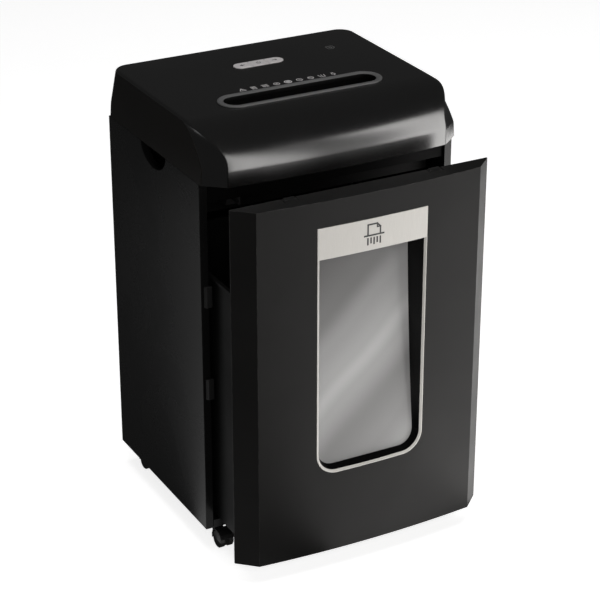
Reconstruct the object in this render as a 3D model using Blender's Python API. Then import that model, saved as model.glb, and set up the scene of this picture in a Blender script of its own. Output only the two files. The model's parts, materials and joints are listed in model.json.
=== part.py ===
"""Paper shredder on castors, with a pull-out bin that stands partly open.

Metres, +Z up. X runs to the right seen from the front, Y to the rear. The object's origin is on the floor,
under the middle of its outer box. Inside, three empties give the pieces their places:
"cabinet" (middle of the cabinet's front plane, on the floor), "head" (the same, at the cabinet's top)
and "bin" (the same as the cabinet's, drawn forward with the bin).
"""

import math

import bmesh
import bpy

# Overall sizes
WIDTH = 0.374                # over the side panels, the head and the bin front
DEPTH = 0.283                # cabinet, front plane to rear face
CABINET_TOP = 0.540          # floor to the seam under the head
CASTOR_HEIGHT = 0.034        # floor to the underside of the cabinet
HEAD_RISE = 0.070            # seam to the top of the head
BIN_OUT = 0.085              # how far the bin stands open at rest

# Clearances
GAP = 0.0003                 # between pieces that touch
PLAY = 0.0010                # around pieces that pass through others

# Cabinet
PANEL = 0.0113               # side and rear panels
BASE_PANEL = 0.012
RUNNER_RISE = 0.0037
RUNNER_WIDTH = 0.015
RUNNER_INSET = 0.0479        # of the bin's runners, from the inside of the cabinet
RAIL_DEPTH = 0.012
RAIL_RISE = 0.030
RAIL_Y = 0.004
NOTCH_Y = 0.1385             # middle of the hand hold in a side panel's top edge
NOTCH_LENGTH = 0.077
NOTCH_DEPTH = 0.026
CATCH_LENGTH = 0.030
CATCH_INSET = 0.014          # from the cabinet's side to the inner edge of a catch block
CATCH_WIDTH = 0.010
CATCH_OUT = 0.004
CATCH_LEAD = 0.0027          # bevel on a catch block's outer edge
CATCH_HEIGHTS = {"upper": 0.3825, "lower": 0.2485}

# Castors
CASTOR_INSET_X = 0.027       # from the cabinet's side to the stem
CASTOR_INSET_Y = 0.020       # from its front or rear to the stem
CASTOR_TRAIL = 0.017
WHEEL_RADIUS = 0.0126
WHEEL_WIDTH = 0.0075
CASTOR_WEB = 0.0050
STEM_RADIUS = 0.0039
STEM_DEPTH = 0.0095          # of the stem in the base panel
AXLE_RADIUS = 0.0022
HOOD_WALL = 0.0014
HOOD_CLEAR = 0.0006          # between the hood and the wheels' treads
TREAD_BEVEL = 0.0012
BOSS_RADIUS = 0.0075
BOSS_FOOT = 0.0135
NECK_DROP = 0.0085

# Bin
CHAMFER = 0.025              # upright bevels at the sides of the bin front
BOW = 0.008                  # how far the middle of the front stands out of its corners
SIDE_LAND = 0.002
FRONT_WALL = 0.003
FRONT_DROP = 0.005           # the front hangs this much lower than the cabinet
FRONT_GAP = 0.003            # from its top to the seam
INNER_PANEL = 0.0025
INNER_PANEL_INSET = 0.0044   # of the inner panel and the tub, from the inside of the cabinet
TUB_INSET = 0.0054
TUB_BELOW_SEAM = 0.130
TUB_WALL = 0.0022
TUB_FLOOR = 0.0025
TUB_REAR_GAP = 0.019
TUB_LIP = 0.003
TUB_LIP_RISE = 0.004

# Window in the bin front
WINDOW_HALF = 0.080
WINDOW_BOTTOM = 0.1475
WINDOW_BELOW_SEAM = 0.0385
WINDOW_CORNER = 0.030
RIM = 0.0035
BAND = 0.043
FRAME_PROUD = 0.0006
FRAME_SEAT = 0.0017
POCKET_WALL = 0.0022
POCKET_DRAFT = 0.004
POCKET_SHALLOW = 0.012       # depth behind the front at the window's foot
POCKET_DEEP = 0.038          # and at the band
PANE_SWELL = 0.0030
PANE = 0.0025

# Head
HEAD_WALL = 0.003
HEAD_OVERHANG = 0.003        # past the closed bin front
HEAD_REAR_INSET = 0.002
ROLL_DEPTH = 0.078           # the rounded front: a quarter ellipse, this deep
ROLL_HEIGHT = 0.050          # and this high
SIDE_TAPER = 0.005
TOP_FILLET = 0.0035
REAR_CORNER = 0.022          # upright rear corners, at the top
REAR_FOOT_CORNER = 0.005     # and at the seam
TRAY_Y = 0.030
TRAY_SIDE_GAP = 0.010        # between the tray and the cabinet's panels
TRAY_DROP = 0.054
TRAY_WALL = 0.003

# Paper entry
SLOT_Y = 0.077
ENTRY_LENGTH = 0.222
ENTRY_WIDTH = 0.032
BEZEL_RIM = 0.0085
BEZEL_PROUD = 0.002
BEZEL_SKIRT = 0.003
THROAT_NECK = 0.008
THROAT_WALL = 0.002
FLAG_X = 0.003
FLAG_REACH = 0.0215
FLAG_ANGLE = math.radians(201.8)
FLAG_RADIUS = 0.003
FLAG_BEHIND = 0.017          # pivot behind the middle of the slot
FLAG_Z = 0.032
FLAG_PIN = 0.0015
FLAG_HALF_WIDTH = 0.004
EAR_INSIDE = 0.006           # from the middle of the flag to the inside of an ear
EAR = 0.003

# Keys and lens
KEYPAD_Y = 0.199
KEYPAD_LENGTH = 0.074
KEYPAD_WIDTH = 0.020
KEY_SPLIT = 0.0006
KEY_PROUD = 0.0008
KEY_THICKNESS = 0.004
KEY_STEM = 0.003
KEY_SWITCH_RISE = 0.001
KEY_TRAVEL_GAP = 0.0014      # between a key's stem and its switch
BOARD = 0.0016
BOARD_HALF_LENGTH = 0.055
BOARD_HALF_WIDTH = 0.015
POST_RADIUS = 0.003
BOARD_BELOW_TOP = 0.0185
LENS_Y = 0.113
LENS_RADIUS = 0.003

# Cutter block
ROLL_DROP = 0.022            # roll axes below the seam
DISC_RADIUS = 0.0195
DISC_PITCH = 0.0135
DISC_GAP = 0.0008            # between a disc and the comb's finger tips
CORE_RADIUS = 0.0125
JOURNAL_RADIUS = 0.006
BUSH_WALL = 0.0024
CUTTER_PLATE = 0.004
PLATE_OUT = 0.013            # of the cutter plates, past the ends of the paper slot
PLATE_RISE = 0.020
TIE_RADIUS = 0.004
TIE_Z = 0.012
TIE_INSET = 0.0075           # from the ends of a cutter plate to a tie bar's axis
PLATE_CLEAR = 0.003          # from a comb's back to the end of its plate
COMB_BAR = 0.0045
COMB_HALF_HEIGHT = 0.009

# Gears: tooth counts and the run of the train from the rear roll to the motor
MODULE = 0.0015
SYNC_TEETH = 22
DRIVE_TEETH = 34
SMALL_TEETH = 12
LARGE_TEETH = 32
PINION_TEETH = 10
TRAIN_ANGLES = (math.radians(35), math.radians(-15), 0.0)
GEAR_PIN = 0.003
SYNC_WIDTH = 0.007
DRIVE_WIDTH = 0.007
GEAR_WIDTH = 0.006
GEAR_STEP = 0.0008

# Motor
MOTOR_RADIUS = 0.030
MOTOR_WALL = 0.003
MOTOR_LENGTH = 0.100
MOTOR_EDGE = 0.004
ARMATURE_RADIUS = 0.022
MOTOR_SHAFT = 0.003
FAN_RADIUS = 0.024
FAN_WIDTH = 0.003
FAN_OUT = 0.016              # from the motor case to the end of the fan's shaft
ARMATURE_END = 0.015         # from the case's end to the windings

# Electrics
POWER_LEG = 0.006
POWER_FROM_ROLLS = 0.060
BIN_SWITCH_X = -0.130
BIN_SWITCH_Z = -0.037
PLUNGER_RADIUS = 0.002
PLUNGER_REST = 0.0006        # from the closed bin to the plunger's tip
GLAND_X = 0.120
GLAND_Z = 0.022
GLAND_RADIUS = 0.007
GLAND_FLANGE = 0.0025
GLAND_DEPTH = 0.008
GLAND_BORE = 0.0035

ROUND = 24
SMALL_ROUND = 16

# Values worked out from those above
HALF = WIDTH / 2
FRONT_Y = -(DEPTH - BIN_OUT - CHAMFER - BOW - FRAME_PROUD) / 2
FRONT_HALF = HALF - CHAMFER
BOW_RADIUS = (FRONT_HALF ** 2 + BOW ** 2) / (2 * BOW)
INNER_HALF = HALF - PANEL - GAP
RUNNER_X = INNER_HALF - RUNNER_INSET
CATCH_X = HALF - CATCH_INSET
INNER_PANEL_X = INNER_HALF - INNER_PANEL_INSET
TUB_X = INNER_HALF - TUB_INSET
TUB_TOP = CABINET_TOP - TUB_BELOW_SEAM
BASE_TOP = CASTOR_HEIGHT + BASE_PANEL
TUB_BOTTOM = BASE_TOP + RUNNER_RISE + GAP
TUB_REAR = DEPTH - PANEL - TUB_REAR_GAP
FRONT_BOTTOM = CASTOR_HEIGHT - FRONT_DROP
FRONT_TOP = CABINET_TOP - FRONT_GAP
WINDOW_TOP = CABINET_TOP - WINDOW_BELOW_SEAM
TRAY_X = HALF - PANEL - TRAY_SIDE_GAP
TRAY_REAR = DEPTH - PANEL - TRAY_SIDE_GAP
TRAY_FLOOR = -TRAY_DROP + TRAY_WALL
PLATE_X = ENTRY_LENGTH / 2 + PLATE_OUT
DISC_COUNT = int(ENTRY_LENGTH / DISC_PITCH)
PITCH_RADIUS = MODULE / 2    # for one tooth
ROLL_SPACING = 2 * PITCH_RADIUS * SYNC_TEETH
BUSH_RADIUS = JOURNAL_RADIUS + GAP + BUSH_WALL
PLANE_1 = PLATE_X + CUTTER_PLATE + 5 * GAP
PLANE_2 = PLANE_1 + DRIVE_WIDTH + GEAR_STEP
PLANE_3 = PLANE_2 + GEAR_WIDTH + GEAR_STEP
ROLL_AXES = {"front": (SLOT_Y - ROLL_SPACING / 2, -ROLL_DROP),
             "rear": (SLOT_Y + ROLL_SPACING / 2, -ROLL_DROP)}


def step_from(point, teeth, others, angle):
    """The axis of a gear in mesh with the one at this point, in the given direction."""
    reach = PITCH_RADIUS * (teeth + others)
    return (point[0] + reach * math.cos(angle), point[1] + reach * math.sin(angle))


SECOND_AXIS = step_from(ROLL_AXES["rear"], DRIVE_TEETH, SMALL_TEETH, TRAIN_ANGLES[0])
FIRST_AXIS = step_from(SECOND_AXIS, LARGE_TEETH, SMALL_TEETH, TRAIN_ANGLES[1])
MOTOR_AXIS = step_from(FIRST_AXIS, LARGE_TEETH, PINION_TEETH, TRAIN_ANGLES[2])


# Modelling helpers

def material(name, color, roughness, metallic=0.0, alpha=1.0):
    made = bpy.data.materials.new(name)
    made.use_nodes = True
    shader = made.node_tree.nodes["Principled BSDF"]
    shader.inputs["Base Color"].default_value = (*color, 1.0)
    shader.inputs["Roughness"].default_value = roughness
    shader.inputs["Metallic"].default_value = metallic
    shader.inputs["Alpha"].default_value = alpha
    return made


def empty(name, location, parent=None):
    made = bpy.data.objects.new(name, None)
    made.location = location
    made.parent = parent
    bpy.context.scene.collection.objects.link(made)
    return made


def new_object(name, verts, faces, look, parent, location=(0, 0, 0), smooth=False):
    """A mesh object from points and faces, with its faces turned outwards."""
    shape = bmesh.new()
    made = [shape.verts.new(v) for v in verts]
    for face in faces:
        shape.faces.new([made[i] for i in face])
    bmesh.ops.recalc_face_normals(shape, faces=shape.faces)
    mesh = bpy.data.meshes.new(name)
    shape.to_mesh(mesh)
    shape.free()
    if look:
        mesh.materials.append(look)
    if smooth:
        mesh.shade_smooth()
        mesh.set_sharp_from_angle(angle=math.radians(35))
    obj = bpy.data.objects.new(name, mesh)
    obj.location = location
    obj.parent = parent
    bpy.context.scene.collection.objects.link(obj)
    return obj


def placed(axis, u, v, w):
    """A point of a plan (u, v) at height w along an axis."""
    return {"X": (w, u, v), "Y": (u, w, v), "Z": (u, v, w)}[axis]


def prism(name, outline, low, high, look, parent, axis="Z", **options):
    count = len(outline)
    verts = [placed(axis, u, v, low) for u, v in outline]
    verts += [placed(axis, u, v, high) for u, v in outline]
    faces = [tuple(range(count)), tuple(range(count, 2 * count))]
    faces += [(i, (i + 1) % count, (i + 1) % count + count, i + count) for i in range(count)]
    return new_object(name, verts, faces, look, parent, **options)


def box(name, low, high, look, parent, **options):
    corners = [(low[0], low[1]), (high[0], low[1]), (high[0], high[1]), (low[0], high[1])]
    return prism(name, corners, low[2], high[2], look, parent, **options)


def band_faces(rings, count, closed=False):
    last = rings if closed else rings - 1
    faces = []
    for r in range(last):
        here = r * count
        there = (r + 1) % rings * count
        for i in range(count):
            j = (i + 1) % count
            faces.append((here + i, here + j, there + j, there + i))
    return faces


def loft(name, rings, look, parent, **options):
    """A solid through sections with equal numbers of points, closed at both ends."""
    count = len(rings[0])
    faces = band_faces(len(rings), count)
    faces += [tuple(range(count)), tuple(range((len(rings) - 1) * count, len(rings) * count))]
    return new_object(name, [p for ring in rings for p in ring], faces, look, parent, **options)


def tube(name, rings, look, parent, **options):
    """A ring-shaped solid: the last section joins the first."""
    faces = band_faces(len(rings), len(rings[0]), closed=True)
    return new_object(name, [p for ring in rings for p in ring], faces, look, parent, **options)


def circle(radius, steps, centre=(0, 0), turn=0.0):
    angles = [turn + 2 * math.pi * i / steps for i in range(steps)]
    return [(centre[0] + radius * math.cos(a), centre[1] + radius * math.sin(a)) for a in angles]


def turned(name, profile, look, parent, axis="X", steps=ROUND, **options):
    """A solid of revolution about an axis. The profile is (along, radius), and ends on the axis."""
    rings = [[placed(axis, u, v, along) for u, v in circle(radius, steps)] for along, radius in profile]
    return loft(name, rings, look, parent, smooth=True, **options)


def turned_ring(name, profile, look, parent, axis="X", steps=ROUND, **options):
    """A solid of revolution with a hole through it: the profile goes right round the section."""
    rings = [[placed(axis, u, v, along) for u, v in circle(radius, steps)] for along, radius in profile]
    return tube(name, rings, look, parent, smooth=True, **options)


def rod(name, radius, low, high, look, parent, axis="X", steps=SMALL_ROUND, centre=(0, 0), **options):
    return prism(name, circle(radius, steps, centre), low, high, look, parent, axis=axis, smooth=True,
                 **options)


def combine(obj, tool, operation="DIFFERENCE", solver="EXACT"):
    """Cuts, joins or intersects with another shape, which stays as a hidden helper."""
    step = obj.modifiers.new(operation.lower(), "BOOLEAN")
    step.operation = operation
    step.solver = solver
    step.object = tool
    tool.hide_render = True
    tool.display_type = "WIRE"
    return obj


def stadium(length, width, steps=8):
    """A long shape with round ends, in plan."""
    radius = width / 2
    straight = length / 2 - radius
    points = []
    for side, start in ((1, -math.pi / 2), (-1, math.pi / 2)):
        for i in range(steps + 1):
            angle = start + math.pi * i / steps
            points.append((side * straight + radius * math.cos(angle), radius * math.sin(angle)))
    return points


# Shapes that several pieces share

def bow(x, out=0.0):
    """The bowed front face of the closed bin at this distance from its middle, moved forward by out."""
    return -CHAMFER - BOW - out + BOW_RADIUS - math.sqrt(BOW_RADIUS ** 2 - x ** 2)


def bow_line(half, steps, out=0.0):
    return [(x, bow(x, out)) for x in (half * (2 * i / steps - 1) for i in range(steps + 1))]


def front_plan(inset=0.0, rear=0.0):
    """Plan of the bin front: flat at the rear, bevelled sides and a bowed face."""
    lean = inset * math.tan(math.pi / 8)
    side = HALF - inset
    face = bow_line(FRONT_HALF - lean, 12, -inset)
    left = [(-side, rear), (-side, -SIDE_LAND + lean)]
    right = [(side, -SIDE_LAND + lean), (side, rear)]
    return left + face + right


def window_side(inset, draft=0.0):
    """The window's right edge, from the foot up, as (half width, height)."""
    edge = inset + draft
    corner = WINDOW_CORNER - edge
    half = WINDOW_HALF - edge
    foot = WINDOW_BOTTOM + edge
    top = WINDOW_TOP - edge
    points = []
    for i in range(7):
        angle = math.pi / 2 * i / 6
        points.append((half - corner + corner * math.sin(angle), foot + corner - corner * math.cos(angle)))
    for i in range(1, 7):
        points.append((half, foot + corner + (top - foot - corner) * i / 6))
    return points


def window_outline(inset, draft=0.0):
    side = window_side(inset, draft)
    return side + [(-x, z) for x, z in reversed(side)]


def pocket_back(z):
    """How far back the pocket's rear edge lies at this height: it leans and swells a little."""
    foot = WINDOW_BOTTOM + RIM
    share = (z - foot) / (WINDOW_TOP - BAND - foot)
    depth = POCKET_SHALLOW + (POCKET_DEEP - POCKET_SHALLOW) * share + 4 * PANE_SWELL * share * (1 - share)
    return -CHAMFER - BOW + depth


def head_section(angle, inset=0.0, foot=False):
    """Outline of the head where its rounded front stands at this angle, 0 at the seam and 90 degrees on top."""
    z = HEAD_RISE - ROLL_HEIGHT + (ROLL_HEIGHT - inset) * math.sin(angle)
    if foot:
        z = 0.0
    fillet = max(TOP_FILLET - inset, 0.0005)
    over = max(z - (HEAD_RISE - inset - fillet), 0.0)
    edge = inset + fillet - math.sqrt(max(fillet ** 2 - over ** 2, 0.0))
    half = HALF - SIDE_TAPER * z / HEAD_RISE - edge
    rear = DEPTH - HEAD_REAR_INSET - edge
    front = ROLL_DEPTH - CHAMFER - HEAD_OVERHANG - (ROLL_DEPTH - inset) * math.cos(angle)
    share = min(max((math.degrees(angle) - 15) / 60, 0.0), 1.0)
    share = share * share * (3 - 2 * share)
    corner = FRONT_HALF - 0.002 - 0.4 * inset
    corner += (half - 0.0004 - corner) * share
    shoulder = facet_end(angle) + 0.4 * inset
    lift = max(z - HEAD_RISE + ROLL_HEIGHT, 0.0) / ROLL_HEIGHT
    radius = REAR_FOOT_CORNER + (REAR_CORNER - REAR_FOOT_CORNER) * lift - edge
    points = []
    for i in range(5):
        turn = math.pi / 2 * i / 4
        points.append((half - radius + radius * math.cos(turn), rear - radius + radius * math.sin(turn)))
    right = [(half, shoulder), *points]
    left = [(-x, y) for x, y in reversed(right)]
    sag = BOW * math.cos(angle)
    face = []
    for i in range(9):
        u = i / 4 - 1
        face.append((corner * u, front - sag * (1 - u * u)))
    return [(x, y, z) for x, y in right + left + face]


def facet_end(angle):
    """Where the head's corner facet meets its side."""
    return -0.006 + 0.052 * (math.degrees(angle) / 62) ** 1.2


HEAD_ANGLES = [math.radians(a) for a in (0, 14, 28, 42, 54, 65, 75, 83, 90)]


def head_solid(name, inset, low, look, parent):
    foot = [(x, y, low) for x, y, _ in head_section(0.0, inset, foot=True)]
    rings = [foot] + [head_section(a, inset) for a in HEAD_ANGLES]
    return loft(name, rings, look, parent, smooth=True)


def cheek_plan(out):
    """Side view of a cheek, grown by out all round."""
    edge = [(facet_end(a) - out + GAP / 3,
             HEAD_RISE - ROLL_HEIGHT * (1 - math.sin(a))) for a in HEAD_ANGLES[:6]]
    top = HEAD_RISE - TOP_FILLET - 0.0005 + out
    rear = DEPTH + PLAY
    edge = [(y, min(z, top)) for y, z in edge if z < top - 0.001]
    steep = edge[-1][0] + 0.012
    return [(facet_end(0.0) - out, -PLAY)] + edge + [(steep, top), (rear, top), (rear, -PLAY)]


def gear_outline(teeth, phase):
    """A spur gear's outline with four points to a tooth, and one tooth centred at the phase angle."""
    pitch = 2 * math.pi / teeth
    root = PITCH_RADIUS * teeth - 1.15 * MODULE
    tip = PITCH_RADIUS * teeth + 0.85 * MODULE
    points = []
    for i in range(teeth):
        middle = phase + i * pitch
        for radius, share in ((root, -0.30), (tip, -0.10), (tip, 0.10), (root, 0.30)):
            angle = middle + share * pitch
            points.append((radius * math.cos(angle), radius * math.sin(angle)))
    return points


def mesh_phase(phase, teeth, others, angle):
    """The phase of the gear that meshes with this one in the given direction."""
    share = (angle - phase) * teeth / (2 * math.pi)
    return angle + math.pi - (0.5 - share) * 2 * math.pi / others


# Cabinet

def cabinet(look, frame):
    for side, name in ((-1, "left"), (1, "right")):
        low, high = sorted((side * HALF, side * (HALF - PANEL)))
        panel = box(
            f"side_panel_{name}", (low, 0, CASTOR_HEIGHT), (high, DEPTH, CABINET_TOP), look["cabinet"], frame
        )
        notch = [(NOTCH_LENGTH / 2 * math.cos(a), -NOTCH_DEPTH * math.sin(a)) for a in
                 (math.pi * i / 16 for i in range(17))]
        notch = [(NOTCH_LENGTH / 2, PLAY)] + notch + [(-NOTCH_LENGTH / 2, PLAY)]
        cutter = prism(f"notch_cut_{name}", notch, low - PLAY, high + PLAY, None, frame, axis="X",
                       location=(0, NOTCH_Y, CABINET_TOP))
        combine(panel, cutter)
        for place, height in CATCH_HEIGHTS.items():
            plan = [
                (side * (CATCH_X + CATCH_WIDTH), -GAP),
                (side * (CATCH_X + CATCH_WIDTH - CATCH_LEAD), -CATCH_OUT),
                (side * CATCH_X, -CATCH_OUT),
                (side * CATCH_X, -GAP),
            ]
            prism(f"catch_block_{name}_{place}", plan, height - CATCH_LENGTH / 2, height + CATCH_LENGTH / 2,
                  look["trim"], frame)
    box("rear_panel", (-INNER_HALF, DEPTH - PANEL, CASTOR_HEIGHT), (INNER_HALF, DEPTH, CABINET_TOP),
        look["cabinet"], frame)
    base = box("base_panel", (-INNER_HALF, 0, CASTOR_HEIGHT), (INNER_HALF, DEPTH - PANEL - GAP, BASE_TOP),
               look["cabinet"], frame)
    for side, name in ((-1, "left"), (1, "right")):
        low, high = sorted((side * RUNNER_X, side * (RUNNER_X - RUNNER_WIDTH)))
        runner = box(f"runner_{name}", (low, 0.010, BASE_TOP - 0.002),
                     (high, DEPTH - PANEL - 0.010, BASE_TOP + RUNNER_RISE), None, frame)
        combine(base, runner, "UNION")
    for name, x, y in castor_places():
        socket = rod(f"socket_{name}", STEM_RADIUS + GAP, CASTOR_HEIGHT - PLAY,
                     CASTOR_HEIGHT + STEM_DEPTH + GAP, None, frame, axis="Z", centre=(x, y))
        combine(base, socket)
    box("top_rail", (-INNER_HALF, RAIL_Y, CABINET_TOP - RAIL_RISE),
        (INNER_HALF, RAIL_Y + RAIL_DEPTH, CABINET_TOP),
        look["throat"], frame)


def castor_places():
    for row, y in (("front", CASTOR_INSET_Y), ("rear", DEPTH - CASTOR_INSET_Y)):
        for side, sign in (("left", -1), ("right", 1)):
            yield f"{row}_{side}", sign * (HALF - CASTOR_INSET_X), y


def castor(name, x, y, look, frame):
    """A hooded twin-wheel castor: the stem's axis is the parent, the wheels' origin is on the axle."""
    stem_axis = empty(f"castor_{name}", (x, y, 0), frame)
    axle = (0, -CASTOR_TRAIL, WHEEL_RADIUS)
    half_web = CASTOR_WEB / 2
    inner = WHEEL_RADIUS + HOOD_CLEAR
    outer = inner + HOOD_WALL
    reach = half_web + GAP * 2 + WHEEL_WIDTH
    start = math.radians(-14)
    end = math.radians(160)
    steps = 8
    arc = [start + (end - start) * i / steps for i in range(steps + 1)]
    shell = [(outer * math.cos(a), outer * math.sin(a)) for a in arc]
    shell += [(inner * math.cos(a), inner * math.sin(a)) for a in reversed(arc)]
    hood = prism(f"castor_hood_{name}", shell, -reach, reach, look["castor"], stem_axis, axis="X",
                 location=axle, smooth=True)
    middle = (inner + outer) / 2
    web = [(middle * math.cos(a), middle * math.sin(a)) for a in arc]
    low = [end + (2 * math.pi + start - end) * i / 6 for i in range(1, 6)]
    web += [((WHEEL_RADIUS - PLAY) * math.cos(a), (WHEEL_RADIUS - PLAY) * math.sin(a)) for a in low]
    combine(hood, prism(f"web_{name}", web, -half_web, half_web, None, stem_axis, axis="X", location=axle),
            "UNION")
    boss_top = CASTOR_HEIGHT - GAP
    boss = rod(f"boss_{name}", BOSS_RADIUS, BOSS_FOOT, boss_top, None, stem_axis, axis="Z", steps=12)
    combine(hood, boss, "UNION")
    neck = box(f"neck_{name}", (-half_web, -CASTOR_TRAIL, WHEEL_RADIUS), (half_web, 0, boss_top - NECK_DROP),
               None, stem_axis)
    combine(hood, neck, "UNION")
    clear = prism(f"wheel_space_{name}", circle(inner, SMALL_ROUND), half_web, reach + PLAY, None,
                  stem_axis, axis="X",
                  location=axle)
    combine(hood, clear)
    clear = prism(f"wheel_room_{name}", circle(inner, SMALL_ROUND), -reach - PLAY, -half_web, None,
                  stem_axis, axis="X",
                  location=axle)
    combine(hood, clear)
    combine(hood,
            rod(f"stem_{name}", STEM_RADIUS, boss_top - 0.002, CASTOR_HEIGHT + STEM_DEPTH, None, stem_axis,
                      axis="Z"), "UNION")
    combine(hood,
            rod(f"axle_hole_{name}", AXLE_RADIUS + GAP, -half_web - PLAY, half_web + PLAY, None, stem_axis,
                      location=axle))
    tread = WHEEL_RADIUS - TREAD_BEVEL
    near = half_web + GAP
    far = near + WHEEL_WIDTH
    profile = [(-far, tread), (-far + TREAD_BEVEL, WHEEL_RADIUS), (-near, WHEEL_RADIUS), (-near, AXLE_RADIUS),
               (near, AXLE_RADIUS), (near, WHEEL_RADIUS), (far - TREAD_BEVEL, WHEEL_RADIUS), (far, tread)]
    rings = [[placed("X", u, v, along) for u, v in circle(radius, SMALL_ROUND)] for along, radius in profile]
    loft(f"castor_wheels_{name}", rings, look["wheel"], stem_axis, location=axle, smooth=True)


# Bin

def bowed_slab(name, front, back, low, high, half, parent):
    """A slab that follows the bowed front, between two distances behind its surface."""
    near = bow_line(half, 12, -front)
    far = bow_line(half, 12, -back)
    return prism(name, near + far[::-1], low, high, None, parent)


def bin_front(look, frame):
    front = prism("bin_front", front_plan(), FRONT_BOTTOM, FRONT_TOP, look["front"], frame)
    hollow = prism("front_hollow", front_plan(FRONT_WALL, PLAY), FRONT_BOTTOM + FRONT_WALL,
                   FRONT_TOP - FRONT_WALL,
                   None, frame)
    combine(front, hollow)
    opening = prism("window_hole", window_outline(RIM - 0.0008), -CHAMFER - 2 * BOW, -CHAMFER + BOW, None,
                    frame,
                    axis="Y")
    combine(front, opening)
    seat = bowed_slab("frame_seat", -BOW, FRAME_SEAT + GAP, WINDOW_BOTTOM - BOW, WINDOW_TOP + BOW,
                      WINDOW_HALF + BOW, frame)
    inside = prism("frame_seat_outline", window_outline(-GAP), -CHAMFER - 4 * BOW, -CHAMFER + BOW, None,
                   frame,
                   axis="Y")
    combine(seat, inside, "INTERSECT")
    combine(front, seat)


def window_frame(look, frame):
    ring = bowed_slab("window_frame", -FRAME_PROUD, FRAME_SEAT, WINDOW_BOTTOM - BOW, WINDOW_TOP + BOW,
                      WINDOW_HALF + BOW, frame)
    ring.data.materials.append(look["frame"])
    outline = prism("frame_outline", window_outline(0.0), -CHAMFER - 3 * BOW, -CHAMFER + BOW, None, frame,
                    axis="Y")
    combine(ring, outline, "INTERSECT")
    inner = [(x, min(z, WINDOW_TOP - BAND)) for x, z in window_side(RIM) if z < WINDOW_TOP - BAND - 0.004]
    inner.append((WINDOW_HALF - RIM, WINDOW_TOP - BAND))
    inner += [(-x, z) for x, z in reversed(inner)]
    combine(ring, prism("frame_opening", inner, -CHAMFER - 3 * BOW, -CHAMFER + BOW, None, frame, axis="Y"))


def window_pocket(look, frame):
    """The sunk pocket behind the frame: its front follows the bow, its back leans away upwards."""
    def front_ring(inset):
        return [(x, bow(x) + FRONT_WALL + GAP, z) for x, z in window_outline(inset)]

    def back_ring(inset):
        return [(x, pocket_back(z), z) for x, z in window_outline(inset, POCKET_DRAFT)]

    outer = RIM - 0.0008 - POCKET_WALL
    inner = RIM - 0.0008
    tube("window_pocket", [front_ring(outer), back_ring(outer), back_ring(inner), front_ring(inner)],
         look["pocket"], frame, smooth=True)
    rows = []
    for x, z in window_side(outer, POCKET_DRAFT):
        near = pocket_back(z) + GAP
        rows.append([(-x, near, z), (x, near, z), (x, near + PANE, z), (-x, near + PANE, z)])
    loft("window_pane", rows, look["pane"], frame, smooth=True)


def inner_panel(look, frame):
    panel = box("inner_panel", (-INNER_PANEL_X, -INNER_PANEL, FRONT_BOTTOM + FRONT_WALL + PLAY),
                (INNER_PANEL_X, 0, FRONT_TOP - FRONT_WALL - PLAY), look["bin"], frame)
    hole = prism("inner_panel_hole", window_outline(-PLAY), -INNER_PANEL - PLAY, PLAY, None, frame, axis="Y")
    combine(panel, hole)


def bin_tub(look, frame):
    tub = box("bin_tub", (-TUB_X, GAP, TUB_BOTTOM), (TUB_X, TUB_REAR, TUB_TOP), look["bin"], frame)
    lip = box("tub_lip", (-TUB_X - TUB_LIP, GAP, TUB_TOP - TUB_LIP_RISE),
              (TUB_X + TUB_LIP, TUB_REAR + TUB_LIP, TUB_TOP),
              None, frame)
    combine(tub, lip, "UNION")
    hollow = box("tub_hollow", (-TUB_X + TUB_WALL, -PLAY, TUB_BOTTOM + TUB_FLOOR),
                 (TUB_X - TUB_WALL, TUB_REAR - TUB_WALL, TUB_TOP + PLAY), None, frame)
    combine(tub, hollow)


# Head covers

def top_cover(look, head):
    cover = head_solid("top_cover", 0.0, GAP, look["gloss"], head)
    combine(cover, head_solid("head_hollow", HEAD_WALL, -PLAY, None, head), solver="MANIFOLD")
    for side, name in ((-1, "left"), (1, "right")):
        low, high = sorted((side * (HALF - 0.015), side * (HALF + PLAY)))
        room = prism(f"cheek_room_{name}", cheek_plan(GAP), low, high, None, head, axis="X")
        combine(cover, room, solver="MANIFOLD")
    slot = stadium(ENTRY_LENGTH + 2 * BEZEL_SKIRT + 4 * GAP, ENTRY_WIDTH + 2 * BEZEL_SKIRT + 4 * GAP)
    slot = [(x, y + SLOT_Y) for x, y in slot]
    top = HEAD_RISE + PLAY
    below = HEAD_RISE - HEAD_WALL - PLAY
    combine(cover, prism("slot_cut", slot, below, top, None, head), solver="MANIFOLD")
    keypad = [(x, y + KEYPAD_Y) for x, y in stadium(KEYPAD_LENGTH + PLAY, KEYPAD_WIDTH + PLAY)]
    combine(cover, prism("keypad_cut", keypad, below, top, None, head), solver="MANIFOLD")
    hole = rod("lens_cut", LENS_RADIUS + GAP, below, top, None, head, axis="Z", centre=(0, LENS_Y))
    combine(cover, hole, solver="MANIFOLD")
    hole = rod("gland_cut", GLAND_RADIUS + GAP, DEPTH - 0.010, DEPTH + PLAY, None, head, axis="Y",
               centre=(GLAND_X, GLAND_Z))
    combine(cover, hole, solver="MANIFOLD")
    for side in (-1, 1):
        post = rod(f"board_post_{side}", POST_RADIUS, HEAD_RISE - BOARD_BELOW_TOP + BOARD + GAP,
                   HEAD_RISE - HEAD_WALL / 2,
                   None, head, axis="Z", steps=8, centre=(side * (KEYPAD_LENGTH / 2 + 0.010), KEYPAD_Y))
        combine(cover, post, "UNION", solver="MANIFOLD")


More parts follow.
